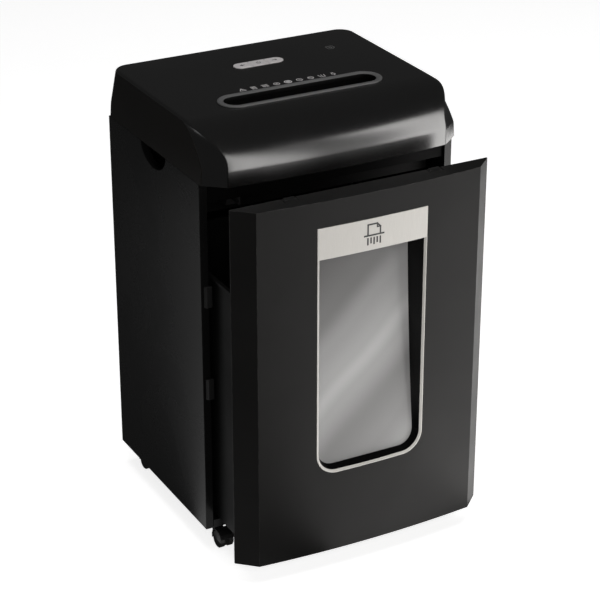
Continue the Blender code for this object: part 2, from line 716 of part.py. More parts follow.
def cheeks(look, head):
    """The matt side panels of the head, in openings of the glossy cover."""
    for side, name in ((-1, "left"), (1, "right")):
        cheek = head_solid(f"head_cheek_{name}", 0.0, GAP, look["cheek"], head)
        hollow = head_solid(f"cheek_hollow_{name}", HEAD_WALL, -PLAY, None, head)
        combine(cheek, hollow, solver="MANIFOLD")
        low, high = sorted((side * (HALF - 0.015 + GAP), side * (HALF + PLAY)))
        outline = prism(f"cheek_outline_{name}", cheek_plan(0.0), low, high, None, head, axis="X")
        combine(cheek, outline, "INTERSECT", solver="MANIFOLD")


def head_base(look, head):
    """The floor of the head, with a tray for the cutter block that hangs into the cabinet."""
    plan = [(x, y) for x, y, _ in head_section(0.0, HEAD_WALL + GAP, foot=True)]
    base = prism("head_base", plan, GAP, TRAY_WALL + GAP, look["base"], head)
    tray = box("tray_block", (-TRAY_X, TRAY_Y, -TRAY_DROP), (TRAY_X, TRAY_REAR, TRAY_WALL), None, head)
    combine(base, tray, "UNION")
    hollow = box("tray_hollow", (-TRAY_X + TRAY_WALL, TRAY_Y + TRAY_WALL, TRAY_FLOOR),
                 (TRAY_X - TRAY_WALL, TRAY_REAR - TRAY_WALL, TRAY_WALL + PLAY), None, head)
    combine(base, hollow)
    discharge = box("discharge_cut", (-ENTRY_LENGTH / 2, SLOT_Y - ROLL_SPACING, -TRAY_DROP - PLAY),
                    (ENTRY_LENGTH / 2, SLOT_Y + ROLL_SPACING, TRAY_FLOOR + PLAY), None, head)
    combine(base, discharge)


def paper_entry(look, head):
    """The raised bezel, the throat under it, and the flag that starts the motor."""
    place = (0, SLOT_Y, 0)
    top = HEAD_RISE + GAP + BEZEL_PROUD
    seat = HEAD_RISE + GAP
    skirt = HEAD_RISE - HEAD_WALL - 0.003

    def ring(length, width, z):
        return [(x, y, z) for x, y in stadium(length, width)]

    def grown(by, z):
        return ring(ENTRY_LENGTH + 2 * by, ENTRY_WIDTH + 2 * by, z)

    tube("slot_bezel", [
        grown(BEZEL_RIM, seat), grown(BEZEL_RIM - 0.0004, top - 0.0006), grown(BEZEL_RIM - 0.0018, top),
        grown(0.0018, top), grown(0.0, top - 0.002), grown(0.0, skirt), grown(BEZEL_SKIRT, skirt),
        grown(BEZEL_SKIRT, seat),
    ], look["bezel"], head, location=place, smooth=True)
    mouth = skirt - GAP
    foot = 0.0005
    neck = THROAT_NECK
    throat = tube("feed_throat", [
        grown(THROAT_WALL, mouth), ring(ENTRY_LENGTH + 2 * THROAT_WALL, neck + 2 * THROAT_WALL, foot),
        ring(ENTRY_LENGTH, neck, foot), grown(0.0, mouth),
    ], look["throat"], head, location=place, smooth=True)
    ear_y = (FLAG_BEHIND - 0.006, FLAG_BEHIND + 0.003)
    for side in (-1, 1):
        low, high = sorted((side * EAR_INSIDE, side * (EAR_INSIDE + EAR)))
        ear = box(f"flag_ear_{side}", (low, ear_y[0], FLAG_Z - 0.005), (high, ear_y[1], FLAG_Z + 0.005),
                  None, head,
                  location=place)
        combine(throat, ear, "UNION")
    combine(throat,
            box("flag_window", (-0.005, 0.001, 0.004), (0.005, FLAG_BEHIND + 0.004, FLAG_Z + 0.006), None,
                        head, location=place))
    combine(throat, rod("flag_pin_hole", FLAG_PIN + GAP, -0.012, 0.012, None, head,
                        location=(0, SLOT_Y + FLAG_BEHIND, FLAG_Z)))
    pivot = (0, SLOT_Y + FLAG_BEHIND, FLAG_Z)
    flag = rod("paper_flag", FLAG_RADIUS, -FLAG_HALF_WIDTH, FLAG_HALF_WIDTH, look["flag"], head,
               location=pivot)
    c, s = math.cos(FLAG_ANGLE), math.sin(FLAG_ANGLE)
    arm = [(0.0, 0.0012), (FLAG_REACH, 0.0008), (FLAG_REACH, -0.0008), (0.0, -0.0012)]
    arm = [(c * u - s * v, s * u + c * v) for u, v in arm]
    combine(flag, prism("flag_arm", arm, -FLAG_X, FLAG_X, None, head, axis="X", location=pivot), "UNION")
    pin_end = EAR_INSIDE + EAR - GAP
    combine(flag, rod("flag_pin", FLAG_PIN, -pin_end, pin_end, None, head, location=pivot), "UNION")
    side = EAR_INSIDE + EAR + GAP
    box("paper_switch", (side, FLAG_BEHIND - 0.002, FLAG_Z - 0.008),
        (side + 0.006, FLAG_BEHIND + 0.010, FLAG_Z + 0.008),
        look["switch"], head, location=place)


def keys(look, head):
    """Three push keys that share one round-ended opening, their board and the status lens."""
    top = HEAD_RISE + KEY_PROUD
    board_top = HEAD_RISE - BOARD_BELOW_TOP + BOARD
    board = box("control_board", (-BOARD_HALF_LENGTH, KEYPAD_Y - BOARD_HALF_WIDTH, board_top - BOARD),
                (BOARD_HALF_LENGTH, KEYPAD_Y + BOARD_HALF_WIDTH, board_top), look["board"], head)
    third = KEYPAD_LENGTH / 3
    for index, name in enumerate(("reverse", "auto", "forward")):
        middle = (index - 1) * third
        key = prism(f"key_{name}", stadium(KEYPAD_LENGTH, KEYPAD_WIDTH), -KEY_THICKNESS, 0, look["key"], head,
                    location=(0, KEYPAD_Y, top), smooth=True)
        low = middle - third / 2 + (KEY_SPLIT / 2 if index > 0 else -PLAY)
        high = middle + third / 2 - (KEY_SPLIT / 2 if index < 2 else -PLAY)
        share = box(f"key_share_{name}", (low, -KEYPAD_WIDTH, -KEY_THICKNESS - PLAY),
                    (high, KEYPAD_WIDTH, PLAY),
                    None, head, location=(0, KEYPAD_Y, top))
        combine(key, share, "INTERSECT")
        stem_foot = board_top + KEY_SWITCH_RISE + KEY_TRAVEL_GAP - top
        stem = rod(f"key_stem_{name}", KEY_STEM, stem_foot, -KEY_THICKNESS + 0.001, None, head, axis="Z",
                   steps=8,
                   centre=(middle, 0), location=(0, KEYPAD_Y, top))
        combine(key, stem, "UNION")
        combine(board, box(f"key_switch_{name}", (middle - 0.003, KEYPAD_Y - 0.003, board_top - 0.0005),
                           (middle + 0.003, KEYPAD_Y + 0.003,
                            board_top + KEY_SWITCH_RISE), None, head), "UNION")
    rod("status_lens", LENS_RADIUS, HEAD_RISE - HEAD_WALL - 0.001, HEAD_RISE + 0.0003, look["lens"], head,
        axis="Z",
        centre=(0, LENS_Y))


# Cutter block

def cutter_roll(name, look, frame):
    """A shaft with cutting discs; the rear roll's discs stand between those of the front roll."""
    shift = 0.0 if name == "front" else DISC_PITCH / 2
    thickness = DISC_PITCH / 2 - GAP
    start = -DISC_PITCH * DISC_COUNT / 2 - DISC_PITCH / 4 + shift
    left = -PLATE_X - CUTTER_PLATE - 3 * GAP - SYNC_WIDTH - PLAY
    right = PLANE_1 + DRIVE_WIDTH if name == "rear" else PLATE_X + CUTTER_PLATE + GAP
    core = DISC_PITCH * DISC_COUNT / 2 + DISC_PITCH / 2
    profile = [(left, JOURNAL_RADIUS), (-core, JOURNAL_RADIUS), (-core, CORE_RADIUS)]
    for i in range(DISC_COUNT):
        low = start + DISC_PITCH * i
        profile += [(low, CORE_RADIUS), (low, DISC_RADIUS), (low + thickness, DISC_RADIUS),
                    (low + thickness, CORE_RADIUS)]
    profile += [(core, CORE_RADIUS), (core, JOURNAL_RADIUS), (right, JOURNAL_RADIUS)]
    y, z = ROLL_AXES[name]
    turned(f"cutter_roll_{name}", profile, look["steel"], frame, steps=10, location=(0, y, z))


def comb(name, look, frame):
    """A bar whose fingers reach between the discs of one roll and strip the paper from them."""
    y, z = ROLL_AXES[name]
    side = -1 if name == "front" else 1
    shift = 0.0 if name == "front" else DISC_PITCH / 2
    bar = DISC_RADIUS + 5 * GAP
    tip = CORE_RADIUS + DISC_GAP
    half = DISC_PITCH / 4 - GAP
    end = PLATE_X - GAP
    points = [(-end, side * (bar + COMB_BAR)), (-end, side * bar)]
    for i in range(DISC_COUNT - 1):
        middle = -DISC_PITCH * DISC_COUNT / 2 + DISC_PITCH * 0.5 + shift + DISC_PITCH * i
        points += [(middle - half, side * bar), (middle - half, side * tip), (middle + half, side * tip),
                   (middle + half, side * bar)]
    points += [(end, side * bar), (end, side * (bar + COMB_BAR))]
    prism(f"comb_{name}", points, z - COMB_HALF_HEIGHT, z + COMB_HALF_HEIGHT, look["dark"], frame,
          location=(0, y, 0))


def gear(name, teeth, phase, low, width, bore, look, frame, axis_at):
    wheel = prism(name, gear_outline(teeth, phase), low, low + width, look, frame, axis="X",
                  location=(0, *axis_at))
    return combine(wheel, rod(f"{name}_bore", bore, low - PLAY, low + width + PLAY, None, frame, steps=12,
                              location=(0, *axis_at)))


def compound_gear(name, large_phase, small_phase, large_low, small_low, small_width, look, frame, axis_at):
    """A large and a small gear in one piece, turning on a fixed pin."""
    place = (0, *axis_at)
    wheel = prism(name, gear_outline(LARGE_TEETH, large_phase), large_low, large_low + GEAR_WIDTH, look,
                  frame,
                  axis="X", location=place)
    overlap = 0.001
    low = min(small_low, large_low + GEAR_WIDTH - overlap)
    high = max(small_low + small_width, large_low + overlap)
    small = prism(f"{name}_small", gear_outline(SMALL_TEETH, small_phase), low, high, None, frame, axis="X",
                  location=place)
    combine(wheel, small, "UNION")
    bore = rod(f"{name}_bore", GEAR_PIN + GAP, min(large_low, small_low) - PLAY,
               max(large_low + GEAR_WIDTH,
                   small_low + small_width) + PLAY, None, frame, steps=12, location=place)
    return combine(wheel, bore)


def gear_train(look, frame):
    """Sync gears at the left end, and three stages from the motor's pinion to the rear roll at the right."""
    left = -PLATE_X - CUTTER_PLATE - 3 * GAP - SYNC_WIDTH
    gear("sync_gear_front", SYNC_TEETH, 0.0, left, SYNC_WIDTH, JOURNAL_RADIUS + GAP, look["steel"], frame,
         ROLL_AXES["front"])
    gear("sync_gear_rear", SYNC_TEETH, mesh_phase(0.0, SYNC_TEETH, SYNC_TEETH, 0.0), left, SYNC_WIDTH,
         JOURNAL_RADIUS + GAP, look["steel"], frame, ROLL_AXES["rear"])
    gear("drive_gear", DRIVE_TEETH, 0.0, PLANE_1, DRIVE_WIDTH, JOURNAL_RADIUS + GAP, look["steel"], frame,
         ROLL_AXES["rear"])
    second = mesh_phase(0.0, DRIVE_TEETH, SMALL_TEETH, TRAIN_ANGLES[0])
    compound_gear("second_gear", 0.0, second, PLANE_2, PLANE_1, DRIVE_WIDTH, look["gear"], frame, SECOND_AXIS)
    first = mesh_phase(0.0, LARGE_TEETH, SMALL_TEETH, TRAIN_ANGLES[1])
    compound_gear("first_gear", 0.0, first, PLANE_3, PLANE_2, GEAR_WIDTH, look["gear"], frame, FIRST_AXIS)
    gear("motor_pinion", PINION_TEETH, mesh_phase(0.0, LARGE_TEETH, PINION_TEETH, TRAIN_ANGLES[2]), PLANE_3,
         GEAR_WIDTH, MOTOR_SHAFT + GAP, look["steel"], frame, MOTOR_AXIS)


def cutter_frame(look, frame):
    """Two plates joined by tie bars, with a bush for each end of each roll."""
    front = ROLL_AXES["front"][0] - DISC_RADIUS - COMB_BAR - PLATE_CLEAR
    rear = ROLL_AXES["rear"][0] + DISC_RADIUS + COMB_BAR + PLATE_CLEAR
    motor_rear = MOTOR_AXIS[0] + MOTOR_RADIUS
    for side, name in ((-1, "left"), (1, "right")):
        low, high = sorted((side * PLATE_X, side * (PLATE_X + CUTTER_PLATE)))
        far = rear if side < 0 else motor_rear
        plate = box(f"cutter_plate_{name}", (low, front, TRAY_FLOOR + GAP), (high, far, PLATE_RISE),
                    look["steel"],
                    frame)
        for place, (y, z) in ROLL_AXES.items():
            hole = rod(f"bush_hole_{place}_{name}", BUSH_RADIUS + GAP, low - PLAY, high + PLAY, None, frame,
                       location=(0, y, z))
            combine(plate, hole)
            half = CUTTER_PLATE / 2
            profile = [(-half, BUSH_RADIUS), (half, BUSH_RADIUS), (half, JOURNAL_RADIUS + GAP),
                       (-half, JOURNAL_RADIUS + GAP)]
            turned_ring(f"roll_bush_{place}_{name}", profile, look["bronze"], frame, steps=SMALL_ROUND,
                        location=((low + high) / 2, y, z))
        if side > 0:
            combine(plate, rod("motor_shaft_hole", MOTOR_SHAFT + PLAY, low - PLAY, high + PLAY, None, frame,
                               location=(0, *MOTOR_AXIS)))
            for pin, place, end in (("first", FIRST_AXIS, PLANE_3 + GEAR_WIDTH), ("second", SECOND_AXIS,
                                                                                 PLANE_2 + GEAR_WIDTH)):
                combine(plate, rod(f"{pin}_gear_pin", GEAR_PIN, low + PLAY, end, None, frame, steps=12,
                                   location=(0, *place)), "UNION")
    for name, y in (("front", front + TIE_INSET), ("rear", rear - TIE_INSET)):
        rod(f"tie_bar_{name}", TIE_RADIUS, -PLATE_X + GAP, PLATE_X - GAP, look["steel"], frame, steps=12,
            location=(0, y, TIE_Z))


def motor(look, frame):
    place = (0, *MOTOR_AXIS)
    right = PLATE_X - GAP
    left = right - MOTOR_LENGTH
    bore = MOTOR_SHAFT + PLAY
    inner = MOTOR_RADIUS - MOTOR_WALL
    profile = [(left, bore), (left, MOTOR_RADIUS - MOTOR_EDGE), (left + MOTOR_EDGE, MOTOR_RADIUS),
               (right - MOTOR_EDGE, MOTOR_RADIUS), (right, MOTOR_RADIUS - MOTOR_EDGE), (right, bore),
               (right - MOTOR_WALL, bore), (right - MOTOR_WALL, inner), (left + MOTOR_WALL, inner),
               (left + MOTOR_WALL, bore)]
    turned_ring("motor_case", profile, look["motor"], frame, steps=SMALL_ROUND, location=place)
    start = left - FAN_OUT
    near, far = left + ARMATURE_END, right - ARMATURE_END
    profile = [(start, MOTOR_SHAFT), (start + FAN_WIDTH, MOTOR_SHAFT), (start + FAN_WIDTH, FAN_RADIUS),
               (start + 2 * FAN_WIDTH, FAN_RADIUS), (start + 2 * FAN_WIDTH, MOTOR_SHAFT), (near, MOTOR_SHAFT),
               (near, ARMATURE_RADIUS), (far, ARMATURE_RADIUS), (far, MOTOR_SHAFT),
               (PLANE_3 + GEAR_WIDTH + PLAY, MOTOR_SHAFT)]
    turned("motor_armature", profile, look["copper"], frame, steps=12, location=place)


def electrics(look, head):
    """Mains board on the tray's floor, bin switch with its plunger, and the inlet for the mains lead."""
    floor = TRAY_FLOOR + GAP
    rise = POWER_LEG
    low, high = -TRAY_X + TRAY_WALL + 0.005, -0.030
    front, rear = SLOT_Y + ROLL_SPACING + POWER_FROM_ROLLS, TRAY_REAR - TRAY_WALL - 0.004
    board = box("power_board", (low, front, floor + rise), (high, rear, floor + rise + BOARD),
                look["board"], head)
    for side_x in (low + 0.006, high - 0.006):
        for side_y in (front + 0.006, rear - 0.006):
            leg = box(f"board_leg_{side_x:.3f}_{side_y:.3f}", (side_x - 0.003, side_y - 0.003, floor),
                      (side_x + 0.003, side_y + 0.003, floor + rise + BOARD / 2), None, head)
            combine(board, leg, "UNION")
    part = box("transformer", (low + 0.015, front + 0.014, floor + rise + BOARD / 2),
               (low + 0.050, front + 0.044, floor + rise + 0.030), None, head)
    combine(board, part, "UNION")
    for index in range(2):
        can = rod(f"capacitor_{index}", 0.008, floor + rise + BOARD / 2, floor + rise + 0.025, None, head,
                  axis="Z",
                  steps=12, centre=(low + 0.068 + 0.020 * index, front + 0.030))
        combine(board, can, "UNION")
    switch_x, switch_z = BIN_SWITCH_X, BIN_SWITCH_Z
    switch = box("bin_switch", (switch_x - 0.010, TRAY_Y - 0.012, switch_z - 0.007),
                 (switch_x + 0.010, TRAY_Y - GAP, switch_z + 0.007), look["switch"], head)
    hole = rod("plunger_hole", PLUNGER_RADIUS + 0.0004, TRAY_Y - 0.013, TRAY_Y - 0.002, None, head, axis="Y",
               centre=(switch_x, switch_z))
    combine(switch, hole)
    rod("switch_plunger", PLUNGER_RADIUS, PLUNGER_REST, TRAY_Y - 0.006, look["key"], head, axis="Y", steps=12,
        location=(switch_x, 0, switch_z))
    rear_face = DEPTH - HEAD_REAR_INSET
    flange = GLAND_RADIUS + GLAND_FLANGE
    profile = [(rear_face - GLAND_DEPTH, GLAND_RADIUS), (rear_face + GAP, GLAND_RADIUS),
               (rear_face + GAP, flange),
               (DEPTH - GAP, flange), (DEPTH, flange - GAP), (DEPTH, GLAND_BORE), (rear_face - GLAND_DEPTH,
                                                                                   GLAND_BORE)]
    turned_ring("cord_gland", profile, look["trim"], head, axis="Y", steps=SMALL_ROUND,
                location=(GLAND_X, 0, GLAND_Z))


def looks():
    return {
        "cabinet": material("cabinet_black", (0.020, 0.020, 0.021), 0.55),
        "front": material("front_black", (0.026, 0.026, 0.027), 0.50),
        "gloss": material("gloss_black", (0.010, 0.010, 0.011), 0.12),
        "cheek": material("cheek_black", (0.022, 0.021, 0.021), 0.45),
        "base": material("base_black", (0.030, 0.030, 0.030), 0.60),
        "trim": material("trim_black", (0.040, 0.040, 0.040), 0.50),
        "castor": material("castor_black", (0.030, 0.030, 0.031), 0.40),
        "wheel": material("wheel_grey", (0.060, 0.060, 0.062), 0.60),
        "bin": material("bin_black", (0.025, 0.025, 0.026), 0.50),
        "frame": material("satin_silver", (0.560, 0.550, 0.530), 0.35, 0.6),
        "pocket": material("pocket_black", (0.015, 0.015, 0.016), 0.35),
        "pane": material("smoked_pane", (0.320, 0.320, 0.330), 0.10, 0.0, 0.6),
        "bezel": material("bezel_grey", (0.180, 0.180, 0.180), 0.45),
        "throat": material("throat_black", (0.012, 0.012, 0.012), 0.60),
        "key": material("key_silver", (0.560, 0.560, 0.560), 0.40),
        "lens": material("lens_white", (0.750, 0.750, 0.750), 0.20),
        "flag": material("flag_white", (0.600, 0.600, 0.580), 0.50),
        "switch": material("switch_black", (0.030, 0.030, 0.030), 0.50),
        "board": material("board_green", (0.030, 0.140, 0.060), 0.50),
        "steel": material("cutter_steel", (0.480, 0.480, 0.500), 0.35, 1.0),
        "dark": material("comb_black", (0.035, 0.035, 0.036), 0.55),
        "bronze": material("bush_bronze", (0.450, 0.280, 0.120), 0.40, 1.0),
        "gear": material("gear_nylon", (0.700, 0.690, 0.640), 0.45),
        "motor": material("motor_steel", (0.420, 0.420, 0.430), 0.40, 0.8),
        "copper": material("armature_copper", (0.500, 0.220, 0.110), 0.45, 0.7),
    }


def main():
    for obj in list(bpy.data.objects):
        bpy.data.objects.remove(obj)
    look = looks()
    frame = empty("cabinet", (0, FRONT_Y, 0))
    head = empty("head", (0, 0, CABINET_TOP), frame)
    drawer = empty("bin", (0, -BIN_OUT, 0), frame)
    cabinet(look, frame)
    for name, x, y in castor_places():
        castor(name, x, y, look, frame)
    bin_front(look, drawer)
    window_frame(look, drawer)
    window_pocket(look, drawer)
    inner_panel(look, drawer)
    bin_tub(look, drawer)
    top_cover(look, head)
    cheeks(look, head)
    head_base(look, head)
    paper_entry(look, head)
    keys(look, head)
    for name in ROLL_AXES:
        cutter_roll(name, look, head)
        comb(name, look, head)
    cutter_frame(look, head)
    gear_train(look, head)
    motor(look, head)
    electrics(look, head)


main()
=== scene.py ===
import json
import math

import bmesh
import bpy
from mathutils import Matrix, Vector


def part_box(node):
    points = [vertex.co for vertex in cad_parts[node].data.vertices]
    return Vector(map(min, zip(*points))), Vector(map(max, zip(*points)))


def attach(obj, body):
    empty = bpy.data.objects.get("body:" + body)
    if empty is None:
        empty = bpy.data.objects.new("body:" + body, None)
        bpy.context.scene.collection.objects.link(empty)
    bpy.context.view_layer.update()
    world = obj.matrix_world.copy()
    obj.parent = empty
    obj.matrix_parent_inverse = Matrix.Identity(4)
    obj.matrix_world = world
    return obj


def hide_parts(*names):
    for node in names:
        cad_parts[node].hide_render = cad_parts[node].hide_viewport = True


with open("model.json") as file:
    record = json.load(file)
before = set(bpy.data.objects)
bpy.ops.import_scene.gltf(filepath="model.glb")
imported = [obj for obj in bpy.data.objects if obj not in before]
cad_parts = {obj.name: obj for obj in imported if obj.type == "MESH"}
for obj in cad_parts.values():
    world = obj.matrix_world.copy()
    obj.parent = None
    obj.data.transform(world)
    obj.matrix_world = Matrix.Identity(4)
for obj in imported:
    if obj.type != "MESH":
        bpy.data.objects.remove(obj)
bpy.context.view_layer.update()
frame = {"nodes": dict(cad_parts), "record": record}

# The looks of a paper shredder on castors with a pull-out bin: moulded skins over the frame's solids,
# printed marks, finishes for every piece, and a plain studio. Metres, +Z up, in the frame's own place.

# Places, read from the frame
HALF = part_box("bin_front")[1].x
FRONT_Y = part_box("side_panel_left")[0].y
REAR_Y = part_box("side_panel_left")[1].y
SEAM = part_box("side_panel_left")[1].z
HEAD_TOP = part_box("top_cover")[1].z
BIN_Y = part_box("inner_panel")[1].y
FACE_LOW, FACE_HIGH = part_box("bin_front")
BAND_LOW, BAND_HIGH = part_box("window_frame")
BEZEL_LOW, BEZEL_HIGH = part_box("slot_bezel")
LENS_LOW, LENS_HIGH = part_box("status_lens")
GLAND_LOW, GLAND_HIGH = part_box("cord_gland")
KEYS_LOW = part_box("key_reverse")[0]
KEYS_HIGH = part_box("key_forward")[1]

DEPTH = REAR_Y - FRONT_Y
HEAD_RISE = HEAD_TOP - SEAM
SLOT_Y = (BEZEL_LOW.y + BEZEL_HIGH.y) / 2
KEYPAD_Y = (KEYS_LOW.y + KEYS_HIGH.y) / 2
LENS_Y = (LENS_LOW.y + LENS_HIGH.y) / 2

GAP = 0.0003
PLAY = 0.001

# Head skin
HEAD_WALL = 0.003
HEAD_OVERHANG = 0.003
HEAD_REAR_INSET = 0.002
ROLL_DEPTH = 0.078
ROLL_HEIGHT = 0.050
SIDE_TAPER = 0.005
TOP_FILLET = 0.0035
REAR_CORNER = 0.022
REAR_FOOT_CORNER = 0.005
FACET_EDGE = 0.0016
BEZEL_RIM = 0.0085
BEZEL_SKIRT = 0.003
CHEEK_WIDTH = 0.015
GLAND_NECK = 0.007
GLAND_DEPTH = 0.010
HEAD_EDGE = 0.0004

# Bin front
CHAMFER = 0.025
BOW = 0.008
SIDE_LAND = 0.002
FRONT_WALL = 0.003
FRONT_HALF = HALF - CHAMFER
BOW_RADIUS = (FRONT_HALF ** 2 + BOW ** 2) / (2 * BOW)
CLIP_X = 0.105
CLIP_WIDTH = 0.020
CLIP_DEPTH = 0.011
CLIP_SLIT = 0.0018
CLIP_INSET = 0.0025
FACE_NEAR = BIN_Y - CHAMFER - 4 * BOW
FACE_FAR = BIN_Y - CHAMFER + BOW

# Window
WINDOW_HALF = BAND_HIGH.x
WINDOW_BOTTOM = BAND_LOW.z
WINDOW_TOP = BAND_HIGH.z
WINDOW_CORNER = 0.030
RIM = 0.0035
RIM_LAND = 0.0008
BAND = 0.043
FRAME_PROUD = 0.0006
FRAME_SEAT = 0.0017
POCKET_WALL = 0.0022
POCKET_LIP = 0.0008
POCKET_DRAFT = 0.004
POCKET_SHALLOW = 0.012
POCKET_DEEP = 0.038
PANE_SWELL = 0.0030
PANE = 0.0025

# Keys and marks
KEY_CAP = 0.004
KEY_STEM = 0.003
INK_SUNK = 0.0001
INK_DEPTH = 0.0002
MARK_PITCH = 0.017
MARK_SIZE = 0.0050
RING_SIZE = 0.0052
CORNER_SIZE = 0.006
CORNER_X = 0.118
CORNER_BACK = 0.012
KEY_SIGN = 0.0038
BAND_SIGN = 0.0145


# Modelling helpers

def mesh_piece(name, verts, faces, crease=35):
    """A mesh object from points and faces, with its faces turned outwards and its round parts smooth."""
    shape = bmesh.new()
    made = [shape.verts.new(v) for v in verts]
    for face in faces:
        shape.faces.new([made[i] for i in face])
    bmesh.ops.recalc_face_normals(shape, faces=shape.faces)
    mesh = bpy.data.meshes.new(name)
    shape.to_mesh(mesh)
    shape.free()
    mesh.shade_smooth()
    mesh.set_sharp_from_angle(angle=math.radians(crease))
    piece = bpy.data.objects.new(name, mesh)
    bpy.context.scene.collection.objects.link(piece)
    return piece


def along(axis, u, v, w):
    """A point of a plan (u, v) at height w along an axis."""
    return {"X": (w, u, v), "Y": (u, w, v), "Z": (u, v, w)}[axis]


def ring_faces(rings, count, closed):
    faces = []
    for r in range(rings if closed else rings - 1):
        here, there = r * count, (r + 1) % rings * count
        for i in range(count):
            j = (i + 1) % count
            faces.append((here + i, here + j, there + j, there + i))
    return faces


def loft(name, rings, closed=False, crease=35):
    """A solid through sections with equal numbers of points; a closed one joins its last to its first."""
    count = len(rings[0])
    faces = ring_faces(len(rings), count, closed)
    if not closed:
        faces += [tuple(range(count)), tuple(range((len(rings) - 1) * count, len(rings) * count))]
    return mesh_piece(name, [p for ring in rings for p in ring], faces, crease)


def prism(name, outline, low, high, axis="Z", crease=35):
    return loft(name, [[along(axis, u, v, w) for u, v in outline] for w in (low, high)], crease=crease)


def block(name, low, high):
    return prism(name, [(low[0], low[1]), (high[0], low[1]), (high[0], high[1]), (low[0], high[1])],
                 low[2], high[2])


def circle(radius, steps=48, centre=(0, 0)):
    turns = [2 * math.pi * i / steps for i in range(steps)]
    return [(centre[0] + radius * math.cos(a), centre[1] + radius * math.sin(a)) for a in turns]


def stadium(length, width, steps=20):
    """A long shape with round ends, in plan."""
    radius = width / 2
    straight = length / 2 - radius
    points = []
    for side, start in ((1, -math.pi / 2), (-1, math.pi / 2)):
        for i in range(steps + 1):
            angle = start + math.pi * i / steps
            points.append((side * straight + radius * math.cos(angle), radius * math.sin(angle)))
    return points


def eased(points, radii, steps=4):
    """A closed outline with its corners rounded: a radius for each point, or 0 for a plain one."""
    made = []
    for i, (point, radius) in enumerate(zip(points, radii)):
        if not radius:
            made.append(point)
            continue
        here = Vector(point)
        back = Vector(points[i - 1]) - here
        on = Vector(points[(i + 1) % len(points)]) - here
        start = here + back.normalized() * min(radius, 0.45 * back.length)
        end = here + on.normalized() * min(radius, 0.45 * on.length)
        for k in range(steps + 1):
            t = k / steps
            made.append(tuple((1 - t) ** 2 * start + 2 * t * (1 - t) * here + t * t * end))
    return made


def settle(piece):
    """The piece's modifiers, worked into its mesh."""
    graph = bpy.context.evaluated_depsgraph_get()
    mesh = bpy.data.meshes.new_from_object(piece.evaluated_get(graph))
    piece.modifiers.clear()
    piece.data = mesh
    return piece


def carve(piece, tool, how="DIFFERENCE", solver="EXACT", crease=35):
    """Cuts, joins or intersects with another shape, which is used up."""
    step = piece.modifiers.new("carve", "BOOLEAN")
    step.operation = how
    step.solver = solver
    step.object = tool
    settle(piece)
    bpy.data.objects.remove(tool)
    piece.data.shade_smooth()
    piece.data.set_sharp_from_angle(angle=math.radians(crease))
    return piece


def soften(piece, width, segments=2, angle=40):
    """A small round on every sharp edge."""
    step = piece.modifiers.new("soften", "BEVEL")
    step.width = width
    step.segments = segments
    step.limit_method = "ANGLE"
    step.angle_limit = math.radians(angle)
    step.harden_normals = True
    return piece


def fit(piece, body, slot, *nodes):
    """Hangs a piece on its body, with the finish of its slot, in place of the named solids."""
    piece.data.materials.clear()
    piece.data.materials.append(FINISHES[slot])
    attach(piece, body)
    if nodes:
        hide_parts(*nodes)
    return piece


# Shader groups

def group(name, inputs, outputs):
    """A node group with a place and the named inputs: its tree, what it is given, what it puts out."""
    made = bpy.data.node_groups.new(name, "ShaderNodeTree")
    for label, kind, value in [("Vector", "NodeSocketVector", None)] + inputs:
        socket = made.interface.new_socket(name=label, in_out="INPUT", socket_type=kind)
        if value is not None:
            socket.default_value = value
    for label, kind in outputs:
        made.interface.new_socket(name=label, in_out="OUTPUT", socket_type=kind)
    return made, made.nodes.new("NodeGroupInput").outputs, made.nodes.new("NodeGroupOutput").inputs


def node(tree, kind, settings=(), **links):
    """A node with its settings, its sockets linked or set by name (spaces as underscores)."""
    made = tree.nodes.new(kind)
    for key, value in dict(settings).items():
        setattr(made, key, value)
    for label, value in links.items():
        by_number = label[0] == "i" and label[1:].isdigit()
        socket = made.inputs[int(label[1:]) if by_number else label.replace("_", " ")]
        if isinstance(value, bpy.types.NodeSocket):
            tree.links.new(value, socket)
        else:
            socket.default_value = value
    return made


def moulded_grain():
    """Fine pebbled surface of moulded plastic: a height and a mask of its raised spots."""
    tree, given, out = group("moulded_grain", [("Scale", "NodeSocketFloat", 1800.0),
                                               ("Roundness", "NodeSocketFloat", 0.6)],
                             [("Height", "NodeSocketFloat"), ("Spots", "NodeSocketFloat")])
    pebble = node(tree, "ShaderNodeTexVoronoi", {"feature": "SMOOTH_F1"}, Vector=given["Vector"],
                  Scale=given["Scale"], Smoothness=given["Roundness"])
    haze = node(tree, "ShaderNodeTexNoise", Vector=given["Vector"], Scale=given["Scale"], Detail=3.0)
    both = node(tree, "ShaderNodeMath", {"operation": "MULTIPLY"}, i0=pebble.outputs["Distance"],
                i1=haze.outputs["Fac"])
    spots = node(tree, "ShaderNodeMapRange", Value=both.outputs[0], From_Min=0.1, From_Max=0.35)
    tree.links.new(both.outputs[0], out["Height"])
    tree.links.new(spots.outputs[0], out["Spots"])
    return tree


def tone_drift():
    """A colour that wanders slowly between a dark and a light tone."""
    tree, given, out = group("tone_drift", [
        ("Scale", "NodeSocketFloat", 6.0), ("Dark", "NodeSocketColor", (0, 0, 0, 1)),
        ("Light", "NodeSocketColor", (1, 1, 1, 1))],
                             [("Color", "NodeSocketColor"), ("Drift", "NodeSocketFloat")])
    slow = node(tree, "ShaderNodeTexNoise", Vector=given["Vector"], Scale=given["Scale"], Detail=5.0,
                Roughness=0.55)
    spread = node(tree, "ShaderNodeMapRange", Value=slow.outputs["Fac"], From_Min=0.3, From_Max=0.7)
    mixed = node(tree, "ShaderNodeMix", {"data_type": "RGBA"}, i0=spread.outputs[0], i6=given["Dark"],
                 i7=given["Light"])
    tree.links.new(mixed.outputs[2], out["Color"])
    tree.links.new(spread.outputs[0], out["Drift"])
    return tree


